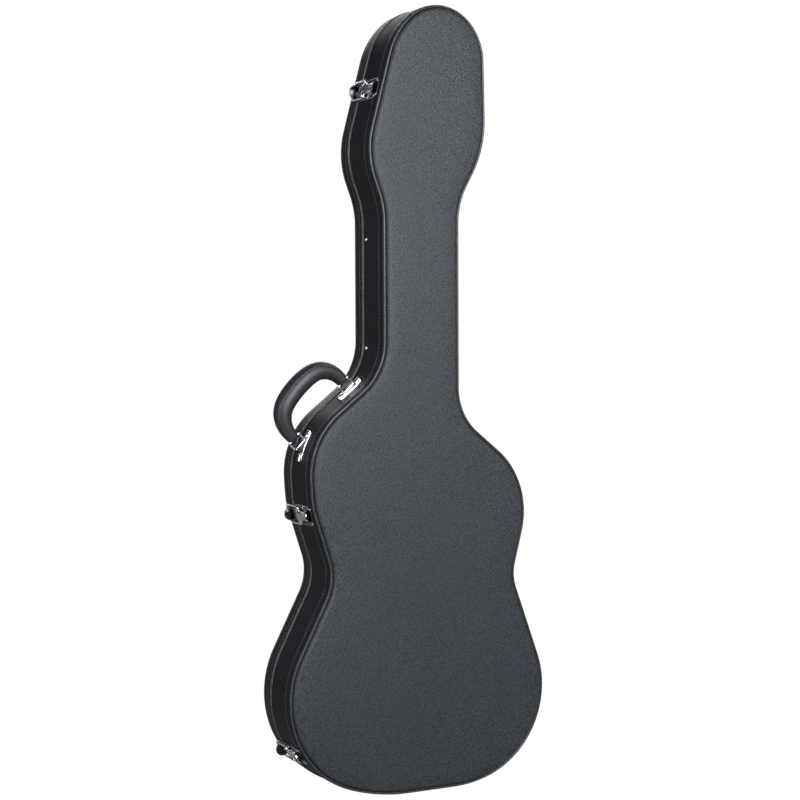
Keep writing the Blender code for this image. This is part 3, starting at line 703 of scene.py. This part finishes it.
def linings():
    """The strips along the walls and the plush on both floors."""
    low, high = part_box("base_valance")
    section = padded_section(*VALANCE_STRIP, low.y, high.y)
    keep(sweep("lid_guide_strip", section, "valance"), "base", "valance", "base_valance")
    low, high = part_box("base_wall_lining")
    section = padded_section(*BASE_SIDE_STRIP, low.y, high.y)
    obj = sweep("base_side_plush", section, "plush", pucker(0.35 * MM))
    keep(obj, "base", "plush", "base_wall_lining")
    low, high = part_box("lid_wall_lining")
    section = padded_section(*LID_SIDE_STRIP, high.y, low.y)
    obj = sweep("lid_side_plush", section, "plush", pucker(0.25 * MM))
    keep(obj, "lid", "plush", "lid_wall_lining")
    for body, way in (("base", 1), ("lid", -1)):
        low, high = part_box(body + "_floor_lining")
        back, face = (low.y, high.y) if way > 0 else (high.y, low.y)
        border = [
            (-5.3 * MM, back),
            (-5.3 * MM, face - way * 1.5 * MM),
            (-5.8 * MM, face - way * 0.5 * MM),
            (-7.2 * MM, face),
            (-14 * MM, face),
            (-24 * MM, face + way * FLOOR_CROWN),
        ]
        y_at = crowned(face, way, FLOOR_CROWN, FLOOR_WAVE)
        obj = sheet(body + "_floor_plush", "plush", border, y_at, back)
        keep(obj, body, "plush", body + "_floor_lining")


# ---- foam pads


def evaluated_mesh(obj):
    """The object's mesh with its modifiers applied."""
    bpy.context.view_layer.update()
    graph = bpy.context.evaluated_depsgraph_get()
    return bpy.data.meshes.new_from_object(obj.evaluated_get(graph))


def even_copy(name, node, voxel, inset):
    """A closed copy of a CAD node with even faces, drawn in by an inset."""
    mesh = frame["nodes"][node].data.copy()
    work = bmesh.new()
    work.from_mesh(mesh)
    bmesh.ops.remove_doubles(work, verts=work.verts, dist=1e-6)
    bmesh.ops.recalc_face_normals(work, faces=work.faces)
    work.to_mesh(mesh)
    work.free()
    obj = add_object(name, mesh, "plush")
    shrink = obj.modifiers.new("shrink", "DISPLACE")
    shrink.strength = -inset
    shrink.mid_level = 0
    even = obj.modifiers.new("even", "REMESH")
    even.mode = "VOXEL"
    even.voxel_size = voxel
    soften = obj.modifiers.new("soften", "SMOOTH")
    soften.factor = 0.5
    soften.iterations = 3
    settled = evaluated_mesh(obj)
    obj.modifiers.clear()
    obj.data = settled
    settled.materials.clear()
    settled.materials.append(LOOKS["plush"])
    settled.shade_smooth()
    return obj


def swell(pads, limit):
    """Blow the pads up together by a short cloth simulation, then hold each point to a limit."""
    starts = {}
    for obj in pads:
        starts[obj.name] = [v.co.copy() for v in obj.data.vertices]
        cloth = obj.modifiers.new("cloth", "CLOTH")
        cloth.settings.quality = 5
        cloth.settings.tension_stiffness = 15
        cloth.settings.compression_stiffness = 15
        cloth.settings.bending_stiffness = 0.5
        cloth.settings.use_pressure = True
        cloth.settings.uniform_pressure_force = PAD_PRESSURE
        cloth.settings.effector_weights.gravity = 0
        cloth.collision_settings.use_collision = False
        cloth.point_cache.frame_start = 1
        cloth.point_cache.frame_end = PAD_FRAMES
    for step in range(1, PAD_FRAMES + 1):
        bpy.context.scene.frame_set(step)
    for obj in pads:
        blown = evaluated_mesh(obj)
        obj.modifiers.clear()
        for vertex, start in zip(blown.vertices, starts[obj.name]):
            moved = vertex.co - start
            if moved.length > limit:
                vertex.co = start + moved.normalized() * limit
        obj.data = blown
        blown.shade_smooth()
    bpy.context.scene.frame_set(1)


def finer(obj):
    """The object with one level of subdivision."""
    soft = obj.modifiers.new("finer", "SUBSURF")
    soft.levels = 1
    soft.render_levels = 1
    return obj


def pads():
    """The body's four pads and the neck's cradle, swollen together."""
    blocks = [f"{name}_pad_{side}" for name in ("waist", "shoulder") for side in ("left", "right")]
    blocks.append("neck_cradle")
    made = {node: even_copy(node + "_plush", node, PAD_VOXEL, PAD_START) for node in blocks}
    swell(list(made.values()), PAD_SWELL)
    for node, obj in made.items():
        keep(finer(obj), "base", "plush", node)


# ---- accessory box


def accessory_box():
    """The box under the neck: two padded walls, and a lid with its pull tab."""
    for node in ("box_lower_wall", "box_upper_wall"):
        obj = even_copy(node + "_plush", node, BOX_VOXEL, BOX_WALL_START)
        keep(finer(obj), "base", "plush", node)
    obj = even_copy("box_lid_plush", "box_lid", BOX_VOXEL, BOX_LID_START)
    keep(finer(obj), "box_lid", "plush", "box_lid")
    keep(pull_tab(), "box_lid", "tab", "box_lid_tab")


def pull_tab():
    """A strap sewn down at the lid's edge, lifting a little at its free end."""
    low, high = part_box("box_lid_tab")
    half = (high.z - low.z) / 2
    middle = (high.z + low.z) / 2
    length = high.x - low.x
    steps, across = 22, 8

    def fill(work):
        rings = []
        for step in range(steps + 1):
            share = step / steps
            x = low.x + length * share
            width = half * min(1.0, math.sqrt(max(0.02, 1 - max(0, share - 0.72) ** 2 / 0.28 ** 2)))
            lift = 1.6 * MM * max(0, share - 0.35) ** 1.5
            top = []
            bottom = []
            for j in range(across + 1):
                side = -1 + 2 * j / across
                edge = (1 - abs(side) ** 6) * 0.5 * MM
                z = middle + side * width
                top.append(Vector((x, low.y + lift + 0.7 * MM + edge, z)))
                bottom.append(Vector((x, low.y + lift, z)))
            rings.append(top + bottom[::-1])
        skin(work, rings)

    return build("box_lid_pull_tab", "grip", fill)


# ---- handle


def joint(name):
    """A joint of the record by its name."""
    return next(j for j in frame["joints"] if j["name"] == name)


def matrix_of(origin, x, y):
    """A frame at an origin from its x and y directions."""
    z = x.cross(y)
    made = Matrix((x, y, z)).transposed().to_4x4()
    made.translation = Vector(origin)
    return made


def handle_matrix():
    """The handle's frame: x along the swing axis, y out of the wall, z towards the back panel."""
    swing = joint("handle_swing")
    along = Vector(swing["axis"]).normalized()
    return matrix_of(swing["pos_m"], along, Vector((-along.z, 0, along.x)))


def smooth_path(points, steps):
    """A Catmull-Rom curve through tuples of numbers."""
    found = []
    for i in range(len(points) - 1):
        p0, p1 = points[max(i - 1, 0)], points[i]
        p2, p3 = points[i + 1], points[min(i + 2, len(points) - 1)]
        for step in range(steps):
            t = step / steps
            found.append(tuple(
                0.5 * (2 * b + (c - a) * t + (2 * a - 5 * b + 4 * c - d) * t * t
                       + (3 * b - a - 3 * c + d) * t ** 3)
                for a, b, c, d in zip(p0, p1, p2, p3)
            ))
    return found + [points[-1]]


def grip_path(ring_x):
    """Centre and radius along the grip: (x, y, radius) in metres."""
    right = [(ring_x - inset * MM, height * MM, radius * MM) for inset, height, radius in GRIP_STATIONS]
    left = [(-x, y, radius) for x, y, radius in right]
    crown = [(0, GRIP_CROWN[0] * MM, GRIP_CROWN[1] * MM)]
    return smooth_path(left + crown + right[::-1], 6)


def path_frames(path):
    """Centre, in-plane outward direction and radius of each station of the grip."""
    found = []
    for index, (x, y, radius) in enumerate(path):
        before = path[max(index - 1, 0)]
        after = path[min(index + 1, len(path) - 1)]
        along = Vector((after[0] - before[0], after[1] - before[1], 0)).normalized()
        found.append((Vector((x, y, 0)), Vector((-along.y, along.x, 0)), along, radius))
    return found


def grip_rings(stations, sides=36):
    """Sections of the grip, round outside and a little flat where the fingers close."""
    rings = []
    first, last = stations[0], stations[-1]
    ends = [(0.55, -2.2 * MM), (0.85, -1.7 * MM), (0.97, -0.8 * MM)]
    rows = [(first[0] + first[2] * shift, first[1], first[3] * size) for size, shift in ends]
    rows += [(centre, out, radius) for centre, out, _, radius in stations]
    rows += [(last[0] - last[2] * shift, last[1], last[3] * size) for size, shift in reversed(ends)]
    for centre, out, radius in rows:
        ring = []
        for step in range(sides):
            turn = 2 * math.pi * step / sides
            flat = 1 - 0.08 * max(0, -math.cos(turn)) ** 2
            across = Vector((0, 0, math.sin(turn) * radius))
            ring.append(centre + out * math.cos(turn) * radius * flat + across)
        rings.append(ring)
    return rings


def handle():
    """The padded grip with its two seams, its wire loops and the tongues that hold them."""
    place = handle_matrix()
    low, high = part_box("handle_ring_upper")
    ring_x = (place.inverted() @ ((low + high) / 2)).x
    stations = path_frames(grip_path(ring_x))

    def fill_grip(work):
        skin(work, [[place @ point for point in ring] for ring in grip_rings(stations)])

    keep(build("handle_grip_cover", "grip", fill_grip), "handle", "handle_cover", "handle_grip")
    for label, side in (("back", 1), ("front", -1)):
        keep(grip_seam(label, side, stations, place), "handle", "handle_cover")
    for label, side in (("upper", 1), ("lower", -1)):
        keep(handle_ring(label, side * ring_x, place), "handle", "chrome", "handle_ring_" + label)
        keep(handle_eye(label, side * ring_x, place), "handle", "handle_cover")


def grip_seam(label, side, stations, place):
    """The rolled seam along one shoulder of the grip."""
    def fill(work):
        path = []
        for centre, out, _, radius in stations[1:-1]:
            turn = GRIP_SEAM_ANGLE * side
            away = out * math.cos(turn) + Vector((0, 0, math.sin(turn)))
            path.append(place @ (centre + away * (radius + GRIP_SEAM_RISE)))
        tube(work, path, GRIP_SEAM_RADIUS, sides=8)

    return build(f"handle_seam_{label}", "piping", fill, 60)


def rounded(left, right, low, high, turn):
    """Points round a rectangle with rounded corners, from its lower right corner."""
    middles = [(right - turn, low + turn), (right - turn, high - turn)]
    middles += [(left + turn, high - turn), (left + turn, low + turn)]
    path = []
    for centre, start in zip(middles, (270, 0, 90, 180)):
        path += arc(centre, turn, start, start + 90, 6)
    return path


def handle_ring(label, middle, place):
    """A wire loop through one end of the grip, round a bar on the swing axis."""
    def fill(work):
        path = rounded(middle - RING_HALF, middle + RING_HALF, 0, RING_HEIGHT, RING_CORNER)
        tube(work, [place @ Vector((x, y, 0)) for x, y in path], RING_WIRE, sides=14, closed=True)

    return build(f"handle_ring_{label}_wire", "chrome", fill, 60)


def handle_eye(label, middle, place):
    """The tongue of cover leather that wraps the ring's outer bar."""
    def fill(work):
        rings = []
        for share, size in ((-1, 0.8), (-0.93, 1), (0, 1.02), (0.93, 1), (1, 0.8)):
            x = middle + share * EYE_HALF
            radius, far = EYE_RADIUS * size, RING_HEIGHT + EYE_LENGTH
            loop = arc((RING_HEIGHT, 0), radius, 110, 250, 10) + [(far, -radius), (far, radius)]
            rings.append([place @ Vector((x, y, z)) for y, z in loop])
        skin(work, rings)

    return build(f"handle_tongue_{label}", "grip", fill, 50)


# ---- latches


def latch_matrix(label):
    """The latch's frame: x to the lid, y out of the wall, z along it."""
    lever = joint(f"latch_{label}_lever")
    along = -Vector(lever["axis"]).normalized()
    toward_lid = Vector((0, 1, 0))
    out = along.cross(toward_lid)
    return matrix_of(lever["pos_m"], toward_lid, out)


def lever_height(share):
    """Height of the lever's top over the pivot line, from its root (0) to its lip (1)."""
    if share < 0.12:
        return (2.3 + 0.3 * math.sin(share / 0.12 * math.pi / 2)) * MM
    slope = 2.6 - 1.5 * min(1, (share - 0.12) / 0.5)
    flare = 3.4 * max(0, (share - 0.74) / 0.26) ** 2
    return (slope + flare) * MM


def lever_half(share):
    """Half the lever's width, from its root (0) to its lip (1)."""
    waist = 1 - 0.2 * math.sin(math.pi * min(1, share / 0.9)) ** 2
    tip = math.sqrt(max(0.05, 1 - max(0, (share - 0.86) / 0.15) ** 2))
    return LEVER_HALF * waist * tip


def latch_lever(label, place):
    """A pressed lever: crowned across, its sides turned down, its end flared into a lip."""
    steps, across = 30, 14

    def fill(work):
        rings = []
        for step in range(steps + 1):
            share = step / steps
            x = LEVER_ROOT - (LEVER_LENGTH + LEVER_ROOT) * share
            top = []
            bottom = []
            for j in range(across + 1):
                side = -1 + 2 * j / across
                turned = LEVER_TURNED_SIDE * max(0, abs(side) - 0.82) / 0.18 * (share < 0.8)
                drop = LEVER_CROWN * side ** 2 + turned
                middle = math.exp(-((side / 0.28) ** 2))
                groove = LEVER_GROOVE * middle * math.sin(math.pi * share) ** 2
                y = lever_height(share) - drop - groove
                z = side * lever_half(share)
                top.append(place @ Vector((x, y, z)))
                bottom.append(place @ Vector((x, y - LEVER_THICK, z * 0.985)))
            rings.append(top + bottom[::-1])
        skin(work, rings)

    obj = build(f"latch_{label}_lever_plate", "chrome", fill, 45)
    return keep(obj, f"latch_{label}_lever", "chrome", f"latch_{label}_lever")


def latch_hasp(label, place):
    """The wire loop that the lever pulls over the tongue."""
    def fill(work):
        path = rounded(HASP_BACK, HASP_FRONT, -HASP_HALF, HASP_HALF, HASP_CORNER)
        tube(work, [place @ Vector((x, 0, z)) for x, z in path], HASP_WIRE, sides=12, closed=True)

    obj = build(f"latch_{label}_hasp_wire", "chrome", fill, 60)
    return keep(obj, f"latch_{label}_hasp", "chrome", f"latch_{label}_hasp")


def seam_depth():
    """The depth of the middle of the gap between the shells."""
    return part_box("base_rim_left_lower")[1].y + HALF_SEAM_GAP


def wall_matrix(place, y, shift=0.0):
    """A frame on the wall: z out of it, x along y, at the foot of a place moved along the outline."""
    point, normal = foot(place)
    along = Vector((-normal.y, normal.x))
    point, normal = foot(point + along * shift)
    out = Vector((normal.x, 0, normal.y))
    x = Vector((0, 1, 0))
    made = Matrix((x, out.cross(x), out)).transposed().to_4x4()
    made.translation = Vector((point.x, y, point.y))
    return made


def corner_samples(half, corner):
    """Distances either way from the middle of a plate, close together at its rounded corners."""
    bend = [half - corner + corner * math.sin(math.radians(turn)) for turn in range(0, 91, 15)]
    flat = [(half - corner) * step / 6 for step in range(6)]
    ahead = flat + bend
    return [-u for u in reversed(ahead[1:])] + ahead


def wall_plate(work, place, y, length, width, corner, thick):
    """A pressed plate with rounded corners that follows the wall; length runs along the wall."""
    half, side = length / 2, width / 2
    rows = [(-1.0, 0.0), (-1.0, 0.55), (-0.985, 0.85), (-0.96, 1.0)]
    rows += [(step / 4, 1.0) for step in range(-3, 4)]
    rows += [(-share, rise) for share, rise in reversed(rows[:4])]
    rings = []
    for u in corner_samples(half, corner):
        matrix = wall_matrix(place, y, u)
        over = max(0.0, abs(u) - (half - corner))
        reach = side - corner + math.sqrt(max(0.0, corner ** 2 - over ** 2))
        end = 0.45 if half - abs(u) < 0.3 * MM else 1.0
        ring = [(share * reach, 0, 0.2 * MM + thick * rise * end) for share, rise in rows]
        ring += [(share * reach * 0.98, 0, 0.05 * MM) for share in (1, 0.5, 0, -0.5, -1)]
        rings.append([matrix @ Vector(point) for point in ring])
    skin(work, rings)


def rivets(name, places, body, lift, look="chrome"):
    """Domed rivet heads at (place, y, shift along the wall), a lift above the wall."""
    def fill(work):
        for place, y, shift in places:
            matrix = wall_matrix(place, y, shift) @ Matrix.Translation((0, 0, lift))
            dome(work, matrix, RIVET_RADIUS, RIVET_RISE)

    return keep(build(name, look, fill, 50), body, "chrome")


def flat_profile(work, place, points, near, far, edge):
    """A flat shape in the latch's xy plane, from z = near to z = far, with eased edges."""
    middle = Vector([sum(values) / len(points) for values in zip(*points)])
    rings = []
    for z, inset in ((near, edge), (near + edge, 0), (far - edge, 0), (far, edge)):
        ring = []
        for x, y in points:
            away = Vector((x, y)) - middle
            moved = middle + away * max(0.0, 1 - inset / max(away.length, 1e-6))
            ring.append(place @ Vector((moved.x, moved.y, z)))
        rings.append(ring)
    skin(work, rings)


def latch_plate(label, place, spot):
    """The plate on the base's wall and the two ears that carry the lever's pin."""
    low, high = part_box(f"latch_{label}_plate")
    y, reach = (low.y + high.y) / 2, high.y - low.y

    def fill(work):
        wall_plate(work, spot, y, LATCH_PLATE_WIDTH, reach, LATCH_CORNER, PLATE_THICK)

    obj = build(f"latch_{label}_plate_cover", "dark_chrome", fill, 50)
    keep(obj, "base", "chrome", f"latch_{label}_plate")

    def fill_ears(work):
        shape = [(EAR_RADIUS, -PIVOT_LIFT + 0.6 * MM)]
        shape += arc((0, 0), EAR_RADIUS, 0, 180, 16)
        shape += [(-EAR_RADIUS, -PIVOT_LIFT + 0.6 * MM)]
        for side in (-1, 1):
            middle = side * EAR_MIDDLE
            flat_profile(work, place, shape, middle - EAR_HALF, middle + EAR_HALF, 0.2 * MM)

    keep(build(f"latch_{label}_ears", "chrome", fill_ears, 40), "base", "chrome")


def latch_catch(label, place, spot):
    """The plate on the lid's wall and the round tongue with a rolled rim that the loop hooks over."""
    seam = seam_depth()
    near, far = seam + CATCH_FROM, seam + CATCH_TO

    def fill(work):
        wall_plate(work, spot, (near + far) / 2, CATCH_WIDTH, far - near, CATCH_CORNER, PLATE_THICK)

    obj = build(f"latch_{label}_catch_plate", "dark_chrome", fill, 50)
    keep(obj, "lid", "chrome", f"latch_{label}_catch")
    tongue_x = seam + TONGUE_X - place.translation.y
    foot_drop = math.degrees(math.asin(TONGUE_FOOT / TONGUE_RADIUS))
    centre = TONGUE_RISE - PIVOT_LIFT

    def fill_tongue(work):
        edge = arc((0, centre), TONGUE_RADIUS - 0.6 * MM, -foot_drop, 180 + foot_drop, 40)
        rings = []
        for x, size in ((-0.45, 0.985), (-0.3, 1.0), (0.3, 1.0), (0.45, 0.985)):
            ring = [(z * size, centre + (y - centre) * size) for z, y in edge]
            rings.append([place @ Vector((tongue_x + x * MM, y, z)) for z, y in ring])
        skin(work, rings)

    def fill_rim(work):
        edge = arc((0, centre), TONGUE_RADIUS - 0.7 * MM, -foot_drop, 180 + foot_drop, 40)
        tube(work, [place @ Vector((tongue_x, y, z)) for z, y in edge], TONGUE_RIM, sides=10)

    keep(build(f"latch_{label}_tongue", "black_chrome", fill_tongue, 50), "lid", "chrome")
    keep(build(f"latch_{label}_tongue_rim", "dark_chrome", fill_rim, 50), "lid", "chrome")


def latches():
    """The three drawbolt latches with their rivets."""
    for label in LATCH_LABELS:
        place = latch_matrix(label)
        origin = place.translation
        spot = (origin.x, origin.z)
        latch_lever(label, place)
        latch_hasp(label, place)
        latch_plate(label, place, spot)
        latch_catch(label, place, spot)
        heads = [(spot, origin.y + x * MM, z * MM) for x, z in PLATE_RIVETS]
        rivets(f"latch_{label}_plate_rivets", heads, "base", RIVET_LIFT)
        heads = [(spot, origin.y + x * MM, z * MM) for x, z in CATCH_RIVETS]
        rivets(f"latch_{label}_catch_rivets", heads, "lid", RIVET_LIFT)


# ---- carried-over metal


def dress(node, look, width):
    """Give a CAD node a finished material and softened edges."""
    obj = frame["nodes"][node]
    obj.data.materials.clear()
    obj.data.materials.append(LOOKS[look])
    weld = obj.modifiers.new("weld", "WELD")
    weld.merge_threshold = 1e-6
    soft = obj.modifiers.new("soft_edges", "BEVEL")
    soft.width = width
    soft.segments = 2
    soft.limit_method = "ANGLE"
    soft.angle_limit = math.radians(40)


def metal():
    """The CAD nodes that are shown as they are: pins and hinge leaves."""
    for label in LATCH_LABELS:
        dress(f"latch_{label}_pin", "steel", 0.2 * MM)
    for label in PAIR_LABELS:
        for part in ("base_leaf", "lid_leaf", "pin"):
            dress(f"hinge_{label}_{part}", "steel", 0.25 * MM)


def brackets():
    """The handle's plates, each with a raised ridge that holds the loop's bar in its middle run."""
    place = handle_matrix()
    for label, side in (("upper", 1), ("lower", -1)):
        low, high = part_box(f"handle_ring_{label}")
        ring_x = side * abs((place.inverted() @ ((low + high) / 2)).x)
        low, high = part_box(f"handle_bracket_{label}")
        middle = place @ Vector((ring_x, 0, 0))
        spot = (middle.x, middle.z)
        y = (low.y + high.y) / 2

        def fill(work):
            wall_plate(work, spot, y, BRACKET_LENGTH, BRACKET_WIDTH, BRACKET_CORNER, BRACKET_THICK)

        obj = build(f"handle_bracket_{label}_plate", "chrome", fill, 50)
        keep(obj, "base", "chrome", f"handle_bracket_{label}")
        keep(ridge(label, place, ring_x), "base", "chrome")
        keep(wall_ridges(label, spot, y), "base", "chrome")


def ridge_rings(near, far):
    """Distances along a run of the ridge and its size there, rounded off at both ends."""
    rings = [(near + shift, size) for shift, size in RIDGE_ENDS]
    rings += [(near + (far - near) * step / 6, 1.0) for step in range(2, 5)]
    return rings + [(far - shift, size) for shift, size in reversed(RIDGE_ENDS)]


def ridge(label, place, ring_x):
    """The middle run of the half-round ridge: it stands on the swing axis, inside the loop's eye."""
    def fill(work):
        made = []
        for x, size in ridge_rings(*RIDGE_RUNS[1]):
            radius = RIDGE_CORE * size
            loop = arc((0, 0), radius, 0, 180, 20)
            loop += [(-radius, -RIDGE_DROP / 2), (-radius, -RIDGE_DROP)]
            loop += [(radius, -RIDGE_DROP), (radius, -RIDGE_DROP / 2)]
            made.append([place @ Vector((ring_x + x * MM, y, z)) for z, y in loop])
        skin(work, made)

    # The lower ridge takes the darker chrome as painted shade; it is the same plated part as the upper
    # ridge.
    look = "chrome" if label == "upper" else "dark_chrome"
    return build(f"handle_ridge_{label}", look, fill, 50)


def wall_ridges(label, spot, y):
    """The outer runs of the ridge: they lie along the wall on either side of the loop."""
    def fill(work):
        for near, far in (RIDGE_RUNS[0], RIDGE_RUNS[2]):
            made = []
            for shift, size in ridge_rings(near, far):
                matrix = wall_matrix(spot, y, shift * MM)
                radius = RIDGE_RADIUS * size
                loop = arc((0, RIDGE_LIFTS[label]), radius, 0, 180, 20)
                loop += [(-radius, 0.1 * MM), (radius, 0.1 * MM)]
                made.append([matrix @ Vector((x, 0, z)) for x, z in loop])
            skin(work, made)

    return build(f"handle_wall_ridges_{label}", "chrome", fill, 50)


def hinge_rivets():
    """Three rivet heads on each hinge leaf."""
    for label in PAIR_LABELS:
        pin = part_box(f"hinge_{label}_pin")
        middle = (pin[0] + pin[1]) / 2
        spot = (middle.x, middle.z)
        for body, way in (("base", -1), ("lid", 1)):
            heads = [(spot, seam_depth() + way * x * MM, z * MM) for x, z in HINGE_RIVETS]
            rivets(f"hinge_{label}_{body}_rivets", heads, body, HINGE_RIVET_LIFT, "steel")


def studs():
    """The two domed studs on the wall beside the neck."""
    for label in PAIR_LABELS:
        low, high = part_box("wall_stud_" + label)
        middle = (low + high) / 2

        def fill(work):
            matrix = wall_matrix((middle.x, middle.z), middle.y)
            dome(work, matrix, STUD_RADIUS, STUD_RISE, sides=20, rings=6)

        obj = build(f"wall_stud_{label}_dome", "chrome", fill, 50)
        keep(obj, "base", "chrome", "wall_stud_" + label)


# ---- studio


def area_light(name, place, target, size, power):
    data = bpy.data.lights.new(name, "AREA")
    data.shape = "RECTANGLE"
    data.size, data.size_y = size
    data.energy = power
    obj = bpy.data.objects.new(name, data)
    obj.location = place
    obj.rotation_euler = (Vector(target) - Vector(place)).to_track_quat("-Z", "Y").to_euler()
    bpy.context.scene.collection.objects.link(obj)


def camera_only(tree, shown, seen_otherwise, target):
    """Show one shader to the camera and another to every other ray."""
    ray = tree.nodes.new("ShaderNodeLightPath")
    mix = tree.nodes.new("ShaderNodeMixShader")
    tree.links.new(ray.outputs["Is Camera Ray"], mix.inputs["Fac"])
    tree.links.new(seen_otherwise, mix.inputs[1])
    tree.links.new(shown, mix.inputs[2])
    tree.links.new(mix.outputs["Shader"], target)


def lights():
    """Soft area lights and a faint, even air."""
    for light in LIGHTS:
        area_light(*light)
    world = bpy.data.worlds.new("studio_air")
    world.use_nodes = True
    tree = world.node_tree
    tree.nodes.clear()
    output = tree.nodes.new("ShaderNodeOutputWorld")
    shown = tree.nodes.new("ShaderNodeBackground")
    shown.inputs["Color"].default_value = (1, 1, 1, 1)
    air = tree.nodes.new("ShaderNodeBackground")
    air.inputs["Color"].default_value = AIR_COLOUR
    air.inputs["Strength"].default_value = AIR_STRENGTH
    camera_only(tree, shown.outputs["Background"], air.outputs["Background"], output.inputs["Surface"])
    bpy.context.scene.world = world


def camera():
    """A camera at the photograph's viewing angle."""
    data = bpy.data.cameras.new("camera")
    data.sensor_width = 36
    data.lens = CAMERA_LENS
    obj = bpy.data.objects.new("camera", data)
    obj.location = CAMERA_PLACE
    obj.rotation_euler = [math.radians(turn) for turn in CAMERA_TURN]
    bpy.context.scene.collection.objects.link(obj)
    bpy.context.scene.camera = obj


def floor():
    """A plain pale floor, shown as white to the camera like the air behind it."""
    mesh = bpy.data.meshes.new("studio_floor")
    work = bmesh.new()
    bmesh.ops.create_grid(work, x_segments=1, y_segments=1, size=30)
    work.to_mesh(mesh)
    work.free()
    look = bpy.data.materials.new("pale_floor")
    look.use_nodes = True
    tree = look.node_tree
    shader = tree.nodes["Principled BSDF"]
    shader.inputs["Base Color"].default_value = (0.3, 0.3, 0.3, 1)
    shader.inputs["Roughness"].default_value = 0.9
    shown = tree.nodes.new("ShaderNodeEmission")
    target = tree.nodes["Material Output"].inputs["Surface"]
    camera_only(tree, shown.outputs["Emission"], shader.outputs["BSDF"], target)
    mesh.materials.append(look)
    obj = bpy.data.objects.new("studio_floor", mesh)
    bpy.context.scene.collection.objects.link(obj)


shells()
linings()
pads()
accessory_box()
handle()
latches()
metal()
brackets()
hinge_rivets()
studs()
lights()
camera()
floor()
bpy.context.scene.view_settings.view_transform = "Standard"
